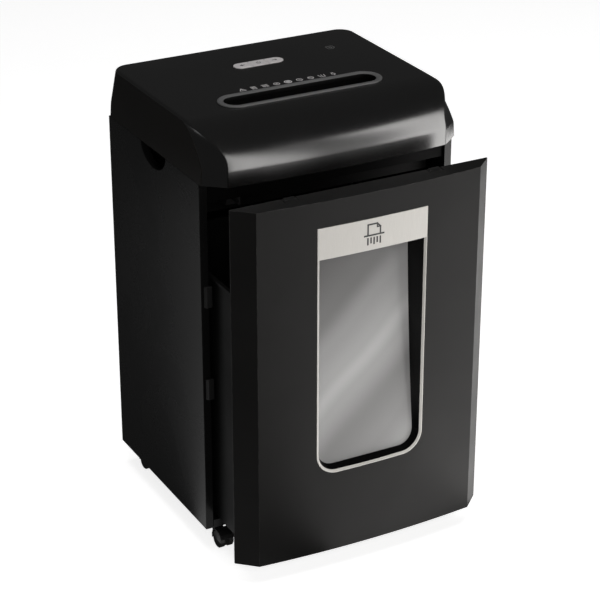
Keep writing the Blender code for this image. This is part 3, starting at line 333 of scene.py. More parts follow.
def handling():
    """Roughness between a polished and a dull value, in soft smears and fine specks."""
    tree, given, out = group("handling", [
        ("Polished", "NodeSocketFloat", 0.3), ("Dull", "NodeSocketFloat", 0.5),
        ("Scale", "NodeSocketFloat", 9.0)],
                             [("Roughness", "NodeSocketFloat")])
    smear = node(tree, "ShaderNodeTexNoise", Vector=given["Vector"], Scale=given["Scale"], Detail=6.0,
                 Distortion=0.8)
    specks = node(tree, "ShaderNodeTexNoise", Vector=given["Vector"], Scale=900.0, Detail=1.0)
    both = node(tree, "ShaderNodeMath", {"operation": "MULTIPLY_ADD"}, i0=specks.outputs["Fac"], i1=0.25,
                i2=smear.outputs["Fac"])
    value = node(tree, "ShaderNodeMapRange", Value=both.outputs[0], From_Min=0.40, From_Max=0.85,
                 To_Min=given["Polished"], To_Max=given["Dull"])
    tree.links.new(value.outputs[0], out["Roughness"])
    return tree


def edge_wear_and_highlight():
    """A mask of the outer edges, broken up so that it isn't an even line: rubbed wear on most finishes, and
    on the pane a painted highlight.
    """
    tree, given, out = group("edge_wear_and_highlight", [("Radius", "NodeSocketFloat", 0.001),
                                           ("Amount", "NodeSocketFloat", 1.0)],
                             [("Mask", "NodeSocketFloat")])
    round_normal = node(tree, "ShaderNodeBevel", {"samples": 4}, Radius=given["Radius"])
    flat = node(tree, "ShaderNodeNewGeometry")
    dot = node(tree, "ShaderNodeVectorMath", {"operation": "DOT_PRODUCT"}, i0=round_normal.outputs[0],
               i1=flat.outputs["Normal"])
    edge = node(tree, "ShaderNodeMapRange", Value=dot.outputs["Value"], From_Min=0.995, From_Max=0.90)
    patch = node(tree, "ShaderNodeTexNoise", Vector=given["Vector"], Scale=70.0, Detail=4.0)
    broken = node(tree, "ShaderNodeMapRange", Value=patch.outputs["Fac"], From_Min=0.40, From_Max=0.62)
    edge_wear_and_highlight_mask = node(tree, "ShaderNodeMath", {"operation": "MULTIPLY"}, i0=edge.outputs[0], i1=broken.outputs[0])
    mask = node(tree, "ShaderNodeMath", {"operation": "MULTIPLY"}, i0=edge_wear_and_highlight_mask.outputs[0], i1=given["Amount"])
    tree.links.new(mask.outputs[0], out["Mask"])
    return tree


def brushed_lines():
    """Long fine strokes: a height and a shade. Stretch squeezes the pattern along the two short ways."""
    tree, given, out = group("brushed_lines", [("Stretch", "NodeSocketVector", (40.0, 2500.0, 2500.0))],
                             [("Height", "NodeSocketFloat"), ("Shade", "NodeSocketFloat")])
    pulled = node(tree, "ShaderNodeVectorMath", {"operation": "MULTIPLY"}, i0=given["Vector"],
                  i1=given["Stretch"])
    stroke = node(tree, "ShaderNodeTexNoise", Vector=pulled.outputs[0], Scale=1.0, Detail=4.0, Roughness=0.6)
    shade = node(tree, "ShaderNodeMapRange", Value=stroke.outputs["Fac"], From_Min=0.3, From_Max=0.7)
    tree.links.new(stroke.outputs["Fac"], out["Height"])
    tree.links.new(shade.outputs[0], out["Shade"])
    return tree


def settled_dust():
    """A mask of faint dust: only on faces that look up, in specks."""
    tree, given, out = group("settled_dust", [("Amount", "NodeSocketFloat", 0.1)],
                             [("Mask", "NodeSocketFloat")])
    faces = node(tree, "ShaderNodeNewGeometry")
    parts = node(tree, "ShaderNodeSeparateXYZ", Vector=faces.outputs["Normal"])
    up = node(tree, "ShaderNodeMapRange", Value=parts.outputs["Z"], From_Min=0.6, From_Max=0.95)
    specks = node(tree, "ShaderNodeTexNoise", Vector=given["Vector"], Scale=420.0, Detail=5.0)
    fine = node(tree, "ShaderNodeMapRange", Value=specks.outputs["Fac"], From_Min=0.55, From_Max=0.72)
    both = node(tree, "ShaderNodeMath", {"operation": "MULTIPLY"}, i0=up.outputs[0], i1=fine.outputs[0])
    mask = node(tree, "ShaderNodeMath", {"operation": "MULTIPLY"}, i0=both.outputs[0], i1=given["Amount"])
    tree.links.new(mask.outputs[0], out["Mask"])
    return tree


def painted_reflection_streaks():
    """Painted reflection: soft slanting bright streaks that stand for a softbox mirrored in the clear
    plastic, as a mask from dark to bright.
    """
    tree, given, out = group("painted_reflection_streaks", [("Slant", "NodeSocketVector", (-0.653, 0.0, 0.757))],
                             [("Mask", "NodeSocketFloat")])
    bend = node(tree, "ShaderNodeTexNoise", Vector=given["Vector"], Scale=5.0, Detail=1.0)
    height = node(tree, "ShaderNodeVectorMath", {"operation": "DOT_PRODUCT"}, i0=given["Vector"],
                  i1=given["Slant"])
    place = node(tree, "ShaderNodeMath", {"operation": "MULTIPLY_ADD"}, i0=bend.outputs["Fac"], i1=0.05,
                 i2=height.outputs["Value"])
    share = node(tree, "ShaderNodeMapRange", Value=place.outputs[0], From_Min=0.10, From_Max=0.43)
    # Ramp stops: where the painted reflection runs bright and dark across the pane.
    ramp = node(tree, "ShaderNodeValToRGB", Fac=share.outputs[0])
    ramp.color_ramp.interpolation = "EASE"
    stops = ramp.color_ramp.elements
    stops[0].color = (0.85, 0.85, 0.85, 1)
    stops[1].color = (0.0, 0.0, 0.0, 1)
    for where, value in ((0.14, 0.42), (0.25, 0.30), (0.36, 0.72), (0.42, 1.0), (0.47, 0.78), (0.58, 0.62),
                         (0.70, 0.22)):
        stops.new(where).color = (value, value, value, 1)
    tree.links.new(ramp.outputs["Color"], out["Mask"])
    return tree


GROUPS = {make.__name__: make() for make in (moulded_grain, tone_drift, handling, edge_wear_and_highlight, brushed_lines,
                                             settled_dust, painted_reflection_streaks)}


# Finishes

class Finish:
    """A material being built: its tree, its shader and the object's own coordinates."""

    def __init__(self, name, **constants):
        self.made = bpy.data.materials.new(name)
        self.made.use_nodes = True
        self.tree = self.made.node_tree
        self.shader = self.tree.nodes["Principled BSDF"]
        self.place = self.tree.nodes.new("ShaderNodeTexCoord").outputs["Object"]
        for label, value in constants.items():
            self.shader.inputs[label.replace("_", " ")].default_value = value

    def use(self, name, **links):
        made = node(self.tree, "ShaderNodeGroup", {"node_tree": GROUPS[name]}, Vector=self.place, **links)
        return made.outputs

    def blend(self, mask, under, over):
        mixed = node(self.tree, "ShaderNodeMix", {"data_type": "RGBA"}, i0=mask, i6=under, i7=over)
        return mixed.outputs[2]

    def feed(self, label, value):
        self.tree.links.new(value, self.shader.inputs[label])

    def bump(self, height, depth, strength=1.0):
        bumped = node(self.tree, "ShaderNodeBump", Height=height, Distance=depth, Strength=strength)
        self.feed("Normal", bumped.outputs[0])


def grey(level, warm=0.0):
    return (level * (1 + warm), level, level * (1 - warm), 1.0)


def moulded(name, dark, light, polished, dull, grain=1500.0, depth=0.00004, wear=0.05, dust=0.03, warm=0.0,
            drift=7.0, **constants):
    """Moulded or foil-faced plastic: slow tone, pebbled grain, handled gloss, rubbed edges and faint dust."""
    look = Finish(name, **constants)
    tone = look.use("tone_drift", Scale=drift, Dark=grey(dark, warm), Light=grey(light, warm))["Color"]
    edge_wear_and_highlight_mask = look.use("edge_wear_and_highlight", Amount=0.6)["Mask"]
    tone = look.blend(edge_wear_and_highlight_mask, tone, grey(light + wear, warm))
    tone = look.blend(look.use("settled_dust", Amount=dust)["Mask"], tone, grey(0.30))
    look.feed("Base Color", tone)
    look.feed("Roughness", look.use("handling", Polished=polished, Dull=dull)["Roughness"])
    look.bump(look.use("moulded_grain", Scale=grain)["Height"], depth)
    return look.made


def metal(name, dark, light, polished, dull, stretch, depth=0.00001, wear=0.1, **constants):
    """Metal with fine strokes one way, and brighter rubbed edges."""
    look = Finish(name, **constants)
    strokes = look.use("brushed_lines", Stretch=stretch)
    tone = look.blend(strokes["Shade"], dark, light)
    bright = tuple(min(c + wear, 1.0) for c in light[:3]) + (1.0,)
    look.feed("Base Color", look.blend(look.use("edge_wear_and_highlight", Amount=0.7)["Mask"], tone, bright))
    look.feed("Roughness", look.use("handling", Polished=polished, Dull=dull)["Roughness"])
    look.bump(strokes["Height"], depth)
    return look.made


def cabinet_black(name):
    """Foil-faced board: nearly smooth, satin, with a very fine grain."""
    return moulded(name, 0.0050, 0.0070, 0.24, 0.30, grain=1400.0, depth=0.000012, wear=0.03, dust=0.02,
                   Specular_IOR_Level=0.28)


def trim_black(name):
    return moulded(name, 0.010, 0.016, 0.40, 0.52, grain=1800.0, wear=0.03)


def castor_black(name):
    return moulded(name, 0.009, 0.014, 0.34, 0.48, grain=2200.0, wear=0.04)


def wheel_grey(name):
    return moulded(name, 0.028, 0.045, 0.50, 0.70, grain=1600.0, depth=0.00006, wear=0.05, dust=0.15)


def front_black(name):
    """The bin front: fine spark-eroded texture with a soft sheen."""
    return moulded(name, 0.0085, 0.0115, 0.40, 0.52, grain=1100.0, depth=0.00006, wear=0.12, dust=0.02,
                   warm=0.02, Specular_IOR_Level=0.10)


def bin_black(name):
    return moulded(name, 0.0040, 0.0060, 0.42, 0.56, grain=1300.0, wear=0.03, dust=0.04,
                   Specular_IOR_Level=0.15)


def satin_silver(name):
    """Warm silver lacquer with fine upright strokes."""
    return metal(name, (0.52, 0.505, 0.475, 1), (0.58, 0.565, 0.535, 1), 0.38, 0.48, (2600.0, 2600.0, 60.0),
                 depth=0.000004, wear=0.12, Metallic=0.10)


def pocket_black(name):
    return moulded(name, 0.0015, 0.0025, 0.12, 0.20, grain=1200.0, depth=0.000006, wear=0.01, dust=0.01,
                   Specular_IOR_Level=0.25)


def smoked_pane(name):
    """Smoky clear plastic: cool grey body, soft polish, a little light coming through; a painted reflection
    in slanting streaks and a painted highlight round its edge.
    """
    look = Finish(name, IOR=1.49, Transmission_Weight=0.15, Coat_Weight=0.1, Coat_Roughness=0.10,
                  Specular_IOR_Level=0.2)
    smoke = look.use("tone_drift", Scale=4.0, Dark=(0.120, 0.118, 0.117, 1), Light=(0.140, 0.138, 0.137, 1))
    # Painted reflection: slanting bright streaks blended into the pane's grey.
    tone = look.blend(look.use("painted_reflection_streaks")["Mask"], smoke["Color"], grey(0.54))
    # Painted highlight: a thin pale line blended into the colour round the pane's edge.
    edge_wear_and_highlight_mask = look.use("edge_wear_and_highlight", Radius=0.0012, Amount=1.0)["Mask"]
    look.feed("Base Color", look.blend(edge_wear_and_highlight_mask, tone, grey(0.75)))
    look.feed("Roughness", look.use("handling", Polished=0.14, Dull=0.22, Scale=5.0)["Roughness"])
    look.bump(look.use("moulded_grain", Scale=160.0)["Height"], 0.00001)
    return look.made


def gloss_black(name):
    """High-gloss moulding: deep black under a faint orange peel."""
    return moulded(name, 0.0022, 0.0034, 0.20, 0.26, grain=260.0, depth=0.000010, wear=0.02, dust=0.01,
                   drift=3.0, warm=0.04, Specular_IOR_Level=1.0, IOR=1.7)


def cheek_black(name):
    return moulded(name, 0.0040, 0.0060, 0.34, 0.44, grain=1500.0, depth=0.00003, wear=0.02, warm=0.25,
                   Specular_IOR_Level=0.3)


def base_black(name):
    return moulded(name, 0.0025, 0.0040, 0.50, 0.62, grain=1300.0, wear=0.01, dust=0.02,
                   Specular_IOR_Level=0.08)


def bezel_grey(name):
    """Mid-grey satin lacquer round the paper slot."""
    return moulded(name, 0.100, 0.120, 0.36, 0.48, grain=2400.0, depth=0.00002, wear=0.12)


# Near-black for the feed throat and the slot lining. The record also gives it to the rail under the head's
# lip, where this near-black is painted shade.
def throat_black(name):
    return moulded(name, 0.0015, 0.0030, 0.45, 0.60, grain=1500.0, wear=0.01, dust=0.01,
                   Specular_IOR_Level=0.05)


def flag_white(name):
    return moulded(name, 0.45, 0.55, 0.35, 0.50, grain=2000.0, warm=0.03)


def switch_black(name):
    return moulded(name, 0.010, 0.016, 0.40, 0.55, grain=2000.0)


def key_silver(name):
    """Silver lacquer on the keys, rubbed a little brighter at their edges."""
    return metal(name, (0.68, 0.65, 0.65, 1), (0.80, 0.77, 0.77, 1), 0.28, 0.40, (60.0, 2600.0, 2600.0),
                 depth=0.000006, wear=0.2, Metallic=0.25)


def lens_white(name):
    look = Finish(name, IOR=1.49, Coat_Weight=0.6, Coat_Roughness=0.05)
    tone = look.use("tone_drift", Scale=300.0, Dark=grey(0.45), Light=grey(0.62))["Color"]
    look.feed("Base Color", tone)
    look.feed("Roughness", look.use("handling", Polished=0.12, Dull=0.25)["Roughness"])
    look.bump(look.use("moulded_grain", Scale=900.0)["Height"], 0.00003)
    return look.made


def board_green(name):
    """Circuit board: green resist over faint copper runs."""
    look = Finish(name, Coat_Weight=0.5, Coat_Roughness=0.2)
    cells = node(look.tree, "ShaderNodeTexBrick", Vector=look.place, Scale=90.0, Mortar_Size=0.03)
    resist = look.use("tone_drift", Scale=30.0, Dark=(0.012, 0.075, 0.030, 1), Light=(0.018, 0.110, 0.045, 1))
    look.feed("Base Color", look.blend(cells.outputs["Fac"], resist["Color"], (0.05, 0.20, 0.07, 1)))
    look.feed("Roughness", look.use("handling", Polished=0.30, Dull=0.45)["Roughness"])
    look.bump(cells.outputs["Fac"], 0.00004)
    return look.made


def cutter_steel(name):
    return metal(name, (0.36, 0.36, 0.38, 1), (0.55, 0.55, 0.57, 1), 0.22, 0.38, (2000.0, 120.0, 120.0),
                 depth=0.00002, Metallic=1.0)


def comb_black(name):
    return moulded(name, 0.016, 0.024, 0.45, 0.60, grain=1500.0, dust=0.15)


def bush_bronze(name):
    return metal(name, (0.36, 0.21, 0.09, 1), (0.50, 0.32, 0.15, 1), 0.30, 0.45, (400.0, 400.0, 400.0),
                 Metallic=1.0)


def gear_nylon(name):
    """Ivory nylon with grease darkening it in slow random patches."""
    return moulded(name, 0.42, 0.60, 0.28, 0.48, grain=700.0, depth=0.00003, wear=0.08, warm=0.05, drift=60.0)


def motor_steel(name):
    return metal(name, (0.32, 0.32, 0.33, 1), (0.46, 0.46, 0.47, 1), 0.30, 0.46, (60.0, 1500.0, 1500.0),
                 Metallic=0.9)


def armature_copper(name):
    return metal(name, (0.34, 0.13, 0.06, 1), (0.62, 0.29, 0.16, 1), 0.28, 0.42, (2200.0, 200.0, 200.0),
                 depth=0.00005, Metallic=0.9)


FINISHES = {make.__name__: make(make.__name__) for make in (
    cabinet_black, trim_black, castor_black, wheel_grey, front_black, bin_black, satin_silver, pocket_black,
    smoked_pane, gloss_black, cheek_black, base_black, bezel_grey, throat_black, flag_white, switch_black,
    key_silver, lens_white, board_green, cutter_steel, comb_black, bush_bronze, gear_nylon, motor_steel,
    armature_copper)}


# Head

def facet_end(angle):
    """Where the head's corner facet meets its side."""
    return -0.006 + 0.052 * (math.degrees(angle) / 62) ** 1.2


def head_ring(angle, inset=0.0, foot=False):
    """The head's outline where its rounded front stands at this angle: 0 at the seam, 90 degrees on top."""
    rise = 0.0 if foot else HEAD_RISE - ROLL_HEIGHT + (ROLL_HEIGHT - inset) * math.sin(angle)
    fillet = max(TOP_FILLET - inset, 0.0005)
    over = max(rise - (HEAD_RISE - inset - fillet), 0.0)
    edge = inset + fillet - math.sqrt(max(fillet ** 2 - over ** 2, 0.0))
    half = HALF - SIDE_TAPER * rise / HEAD_RISE - edge
    rear = DEPTH - HEAD_REAR_INSET - edge
    front = ROLL_DEPTH - CHAMFER - HEAD_OVERHANG - (ROLL_DEPTH - inset) * math.cos(angle)
    share = min(max((math.degrees(angle) - 15) / 60, 0.0), 1.0)
    share = share * share * (3 - 2 * share)
    corner = FRONT_HALF - 0.002 - 0.4 * inset
    corner += (half - 0.0004 - corner) * share
    shoulder = facet_end(angle) + 0.4 * inset
    lift = max(rise - HEAD_RISE + ROLL_HEIGHT, 0.0) / ROLL_HEIGHT
    radius = REAR_FOOT_CORNER + (REAR_CORNER - REAR_FOOT_CORNER) * lift - edge
    turns = [math.pi / 2 * i / 10 for i in range(11)]
    right = [(half, shoulder)] + [
        (half - radius + radius * math.cos(t), rear - radius + radius * math.sin(t)) for t in turns]
    left = [(-x, y) for x, y in reversed(right)]
    sag = BOW * math.cos(angle)
    face = [(corner * u, front - sag * (1 - u * u)) for u in (i / 16 - 1 for i in range(33))]
    radii = [FACET_EDGE] + [0.0] * 22 + [FACET_EDGE, FACET_EDGE] + [0.0] * 31 + [FACET_EDGE]
    outline = eased(right + left + face, radii)
    return [(x, y + FRONT_Y, rise + SEAM) for x, y in outline]


HEAD_ANGLES = [math.radians(a) for a in (*range(0, 60, 4), *range(60, 91, 3))]


def head_block(name, inset, low):
    foot = [(x, y, SEAM + low) for x, y, _ in head_ring(0.0, inset, foot=True)]
    return loft(name, [foot] + [head_ring(a, inset) for a in HEAD_ANGLES], crease=28)


def cheek_side(out):
    """Side view of a cheek, grown by out all round."""
    angles = [a for a in HEAD_ANGLES if a < math.radians(67)]
    edge = [(facet_end(a) - out + GAP / 3, HEAD_RISE - ROLL_HEIGHT * (1 - math.sin(a))) for a in angles]
    top = HEAD_RISE - TOP_FILLET - 0.0005 + out
    edge = [(y, z) for y, z in edge if z < top - 0.001]
    steep = edge[-1][0] + 0.004
    rear = DEPTH + PLAY
    plan = [(facet_end(0.0) - out, -PLAY)] + edge + [(steep, top), (rear, top), (rear, -PLAY)]
    return [(y + FRONT_Y, z + SEAM) for y, z in plan]


def cover_skin():
    cover = head_block("cover_skin", 0.0, GAP)
    carve(cover, head_block("hollow", HEAD_WALL, -PLAY), solver="MANIFOLD")
    for side in (-1, 1):
        low, high = sorted((side * (HALF - CHEEK_WIDTH), side * (HALF + PLAY)))
        carve(cover, prism("cheek_room", cheek_side(GAP), low, high, axis="X"), solver="MANIFOLD")
    top, below = HEAD_TOP + PLAY, HEAD_TOP - HEAD_WALL - PLAY
    length = BEZEL_HIGH.x - BEZEL_LOW.x - 2 * (BEZEL_RIM - BEZEL_SKIRT - 2 * GAP)
    width = BEZEL_HIGH.y - BEZEL_LOW.y - 2 * (BEZEL_RIM - BEZEL_SKIRT - 2 * GAP)
    slot = [(x, y + SLOT_Y) for x, y in stadium(length, width)]
    carve(cover, prism("slot_cut", slot, below, top), solver="MANIFOLD")
    keypad = stadium(KEYS_HIGH.x - KEYS_LOW.x + PLAY, KEYS_HIGH.y - KEYS_LOW.y + PLAY)
    carve(cover, prism("keypad_cut", [(x, y + KEYPAD_Y) for x, y in keypad], below, top), solver="MANIFOLD")
    lens = circle((LENS_HIGH.x - LENS_LOW.x) / 2 + GAP, 32, (0, LENS_Y))
    carve(cover, prism("lens_cut", lens, below, top), solver="MANIFOLD")
    gland_x, gland_z = (GLAND_LOW.x + GLAND_HIGH.x) / 2, (GLAND_LOW.z + GLAND_HIGH.z) / 2
    neck = circle(GLAND_NECK + GAP, 32, (gland_x, gland_z))
    carve(cover, prism("gland_cut", neck, REAR_Y - GLAND_DEPTH, REAR_Y + PLAY, axis="Y"),
          solver="MANIFOLD", crease=28)
    fit(soften(cover, HEAD_EDGE), "cabinet", "gloss_black", "top_cover")


def cheek_skins():
    for side, name in ((-1, "left"), (1, "right")):
        cheek = head_block(f"cheek_skin_{name}", 0.0, GAP)
        carve(cheek, head_block("hollow", HEAD_WALL, -PLAY), solver="MANIFOLD")
        low, high = sorted((side * (HALF - CHEEK_WIDTH + GAP), side * (HALF + PLAY)))
        outline = prism("cheek_outline", cheek_side(0.0), low, high, axis="X")
        carve(cheek, outline, "INTERSECT", solver="MANIFOLD", crease=28)
        fit(soften(cheek, HEAD_EDGE), "cabinet", "cheek_black", f"head_cheek_{name}")


def slot_ring():
    """The raised ring round the paper slot, with a stepped inner edge."""
    entry_length = BEZEL_HIGH.x - BEZEL_LOW.x - 2 * BEZEL_RIM
    entry_width = BEZEL_HIGH.y - BEZEL_LOW.y - 2 * BEZEL_RIM

    def grown(by, z):
        return [(x, y + SLOT_Y, z) for x, y in stadium(entry_length + 2 * by, entry_width + 2 * by)]

    top = BEZEL_HIGH.z
    seat = HEAD_TOP + GAP
    ring = loft("slot_ring", [
        grown(BEZEL_RIM, seat), grown(BEZEL_RIM, top - 0.0011), grown(BEZEL_RIM - 0.0004, top - 0.0005),
        grown(BEZEL_RIM - 0.0011, top - 0.0001), grown(BEZEL_RIM - 0.0018, top), grown(0.0034, top),
        grown(0.0030, top - 0.0004), grown(0.0016, top - 0.0006), grown(0.0008, top - 0.0009),
        grown(0.0, top - 0.0022), grown(0.0, BEZEL_LOW.z), grown(BEZEL_SKIRT, BEZEL_LOW.z),
        grown(BEZEL_SKIRT, seat),
    ], closed=True, crease=50)
    fit(ring, "cabinet", "bezel_grey", "slot_bezel")
    low, high = BEZEL_LOW.z - 0.0002, top - 0.0014
    lining = loft("slot_lining", [grown(0.0002, high), grown(-0.0004, high - 0.0006), grown(-0.0004, low),
                                  grown(0.0002, low)], closed=True, crease=50)
    fit(lining, "cabinet", "throat_black")


# Marks

def bar(x0, y0, x1, y1, width):
    """A straight stroke between two points."""
    way = (Vector((x1, y1)) - Vector((x0, y0))).normalized() * width / 2
    side = Vector((-way.y, way.x))
    a, b = Vector((x0, y0)) - way, Vector((x1, y1)) + way
    return [tuple(p) for p in (a - side, b - side, b + side, a + side)]


def path(points, width, closed=False):
    pairs = list(zip(points, points[1:] + points[:1]))
    return [bar(*a, *b, width) for a, b in (pairs if closed else pairs[:-1])]


def hoop(radius, width, start=0.0, sweep=2 * math.pi, steps=20):
    """A curved stroke, as short wedges that meet edge to edge."""
    made = []
    inner, outer = radius - width / 2, radius + width / 2
    for i in range(steps):
        a, b = start + sweep * i / steps, start + sweep * (i + 1) / steps
        made.append([(inner * math.cos(a), inner * math.sin(a)), (outer * math.cos(a), outer * math.sin(a)),
                     (outer * math.cos(b), outer * math.sin(b)), (inner * math.cos(b), inner * math.sin(b))])
    return made


def marks(name, outlines, size, place):
    """Thin raised marks; place turns a mark's own (u, v, height) into a point of the frame."""
    verts, faces = [], []
    for outline in outlines:
        first, count = len(verts), len(outline)
        for height in (0.0, 1.0):
            verts += [place(u * size, v * size, height) for u, v in outline]
        faces += [tuple(first + i for i in range(count)), tuple(first + count + i for i in range(count))]
        for i in range(count):
            j = (i + 1) % count
            faces.append((first + i, first + j, first + j + count, first + i + count))
    return mesh_piece(name, verts, faces)


def inked(surface, height):
    """Just under a surface at height 0, and just over it at height 1."""
    return surface - INK_SUNK + INK_DEPTH * height


LINE = 0.20


def pictograms():
    """Plain signs for the row on the cover, each drawn in a square two units wide."""
    sheet = path([(-0.6, -0.9), (0.6, -0.9), (0.6, 0.9), (-0.6, 0.9)], LINE, closed=True)
    return {
        "caution": path([(-0.9, -0.75), (0.9, -0.75), (0.0, 0.85)], LINE, closed=True)
        + [bar(0, -0.2, 0, 0.25, LINE)],
        "sheet": sheet + [bar(-0.25, y, 0.25, y, LINE) for y in (-0.35, 0.1, 0.5)],
        "strips": [bar(-0.8, 0.75, 0.8, 0.75, LINE)]
        + [bar(x, 0.3, x, -0.8, LINE) for x in (-0.7, -0.25, 0.25, 0.7)],
        "disc": hoop(0.8, LINE) + hoop(0.22, LINE, steps=12),
        "timer": hoop(0.8, LINE) + [bar(0, 0, 0, 0.45, LINE), bar(0, 0, 0.35, 0, LINE)],
        "ban": hoop(0.8, LINE) + [bar(-0.5, 0.5, 0.5, -0.5, LINE)],
        "tray": path([(-0.85, 0.7), (-0.65, -0.8), (0.65, -0.8), (0.85, 0.7)], LINE)
        + [bar(0, 0.75, 0, -0.2, LINE)],
        "lead": hoop(0.45, LINE, 0, math.pi)
        + path([(-0.45, 0), (-0.45, -0.5), (0.45, -0.5), (0.45, 0)], LINE)
        + [bar(x, 0.6, x, 0.95, LINE) for x in (-0.2, 0.2)] + [bar(0, -0.6, 0, -0.95, LINE)],
    }


def cover_marks():
    """Eight small signs behind the slot, four each side of the status lens, and one by the corner."""
    steps = (-4, -3, -2, -1, 1, 2, 3, 4)
    for step, (name, drawing) in zip(steps, pictograms().items()):
        def place(u, v, height, x=step * MARK_PITCH):
            return (x + u, LENS_Y + v, inked(HEAD_TOP, height))
        fit(marks(f"mark_{name}", drawing, MARK_SIZE, place), "cabinet", "key_silver")
    corner = path([(-0.9, -0.9), (0.3, -0.9), (0.9, -0.3), (0.9, 0.9), (-0.9, 0.9)], 0.18, closed=True)
    corner += hoop(0.35, 0.18, steps=12)

    def place(u, v, height):
        return (CORNER_X + u, KEYPAD_Y + CORNER_BACK + v, inked(HEAD_TOP, height))
    fit(marks("mark_corner", corner, CORNER_SIZE, place), "cabinet", "bezel_grey")

    def place(u, v, height):
        return (u, LENS_Y + v, inked(HEAD_TOP, height))
    fit(marks("mark_lens", hoop(0.9, 0.3, steps=32), RING_SIZE, place), "cabinet", "key_silver")


def key_caps():
    """The three keys, with soft edges and a sign on each."""
    third = (KEYS_HIGH.x - KEYS_LOW.x) / 3
    row = [(x, y + KEYPAD_Y) for x, y in stadium(KEYS_HIGH.x - KEYS_LOW.x, KEYS_HIGH.y - KEYS_LOW.y)]
    signs = {
        "reverse": [[(-0.9, 0), (0.2, 0.8), (0.2, -0.8)], bar(0.2, 0, 0.9, 0, 0.35)],
        "auto": hoop(0.75, 0.26, math.radians(125), math.radians(290)) + [bar(0, 0.25, 0, 0.95, 0.26)],
        "forward": [[(0.9, 0), (0.2, 0.8), (0.2, -0.8)], bar(-0.2, 0, -0.9, 0, 0.35)],
    }
    for index, (name, sign) in enumerate(signs.items()):
        low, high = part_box(f"key_{name}")
        middle = (index - 1) * third
        cap = prism(f"key_cap_{name}", row, high.z - KEY_CAP, high.z, crease=30)
        share = block("share", (low.x, low.y - PLAY, high.z - KEY_CAP - PLAY),
                      (high.x, high.y + PLAY, high.z + PLAY))
        carve(cap, share, "INTERSECT")
        stem = circle(KEY_STEM, 24, (middle, KEYPAD_Y))
        carve(cap, prism("stem", stem, low.z, high.z - KEY_CAP + PLAY), "UNION")
        fit(soften(cap, 0.0006, 3), f"key_{name}", "key_silver", f"key_{name}")

        def place(u, v, height, x=middle, top=high.z):
            return (x + u, KEYPAD_Y + v, inked(top, height))
        fit(marks(f"key_sign_{name}", sign, KEY_SIGN, place), f"key_{name}", "trim_black")


# Bin front and window

def bow(x, out=0.0):
    """The bowed face of the bin front at this distance from its middle, moved forward by out."""
    return BIN_Y - CHAMFER - BOW - out + BOW_RADIUS - math.sqrt(BOW_RADIUS ** 2 - x ** 2)


def bow_line(half, steps=36, out=0.0):
    return [(x, bow(x, out)) for x in (half * (2 * i / steps - 1) for i in range(steps + 1))]


def front_plan(inset=0.0, rear=0.0):
    lean = inset * math.tan(math.pi / 8)
    side = HALF - inset
    left = [(-side, BIN_Y + rear), (-side, BIN_Y - SIDE_LAND + lean)]
    right = [(side, BIN_Y - SIDE_LAND + lean), (side, BIN_Y + rear)]
    return left + bow_line(FRONT_HALF - lean, out=-inset) + right


def window_side(inset, draft=0.0):
    """The window's right edge, from the foot up, as (half width, height)."""
    edge = inset + draft
    corner = WINDOW_CORNER - edge
    half = WINDOW_HALF - edge
    foot = WINDOW_BOTTOM + edge
    top = WINDOW_TOP - edge
    points = []
    for i in range(17):
        angle = math.pi / 2 * i / 16
        points.append((half - corner + corner * math.sin(angle), foot + corner - corner * math.cos(angle)))
    for i in range(1, 13):
        points.append((half, foot + corner + (top - foot - corner) * i / 12))
    return points


def window_outline(inset, draft=0.0):
    side = window_side(inset, draft)
    return side + [(-x, z) for x, z in reversed(side)]


def window_slab(name, front, back):
    """A slab round the window that follows the bowed face, between two distances behind its surface."""
    half = WINDOW_HALF + BOW
    plan = bow_line(half, out=-front) + bow_line(half, out=-back)[::-1]
    return prism(name, plan, WINDOW_BOTTOM - BOW, WINDOW_TOP + BOW)


def front_skin():
    """The bin's front: bevelled sides, bowed face, window seat and two snap clips along its top."""
    skin = prism("front_skin", front_plan(), FACE_LOW.z, FACE_HIGH.z)
    carve(skin, prism("hollow", front_plan(FRONT_WALL, PLAY), FACE_LOW.z + FRONT_WALL,
                      FACE_HIGH.z - FRONT_WALL))
    carve(skin, prism("window_hole", window_outline(RIM - POCKET_LIP), FACE_NEAR, FACE_FAR, axis="Y"))
    seat = window_slab("seat", -BOW, FRAME_SEAT + GAP)
    carve(seat, prism("seat_outline", window_outline(-GAP), FACE_NEAR, FACE_FAR, axis="Y"), "INTERSECT")
    carve(skin, seat)
    for middle in (-CLIP_X, CLIP_X):
        for side in (-1, 1):
            x = middle + side * CLIP_WIDTH / 2
            low = (x - CLIP_SLIT / 2, BIN_Y - CLIP_DEPTH, FACE_HIGH.z - FRONT_WALL - PLAY)
            carve(skin, block("slit", low, (x + CLIP_SLIT / 2, BIN_Y + PLAY, FACE_HIGH.z + PLAY)))
    fit(soften(skin, 0.0007, 3), "bin", "front_black", "bin_front")
    side_view = ((0.0065, 0.0001), (0.0050, 0.0015), (0.0035, 0.0018), (0.0008, 0.0015), (0.0002, 0.0001))
    clip = [(BIN_Y - ahead, FACE_HIGH.z + over) for ahead, over in side_view]
    reach = CLIP_WIDTH / 2 - CLIP_INSET
    for middle, name in ((-CLIP_X, "left"), (CLIP_X, "right")):
        tab = prism(f"clip_{name}", clip, middle - reach, middle + reach, axis="X")
        fit(soften(tab, 0.0003), "bin", "front_black")


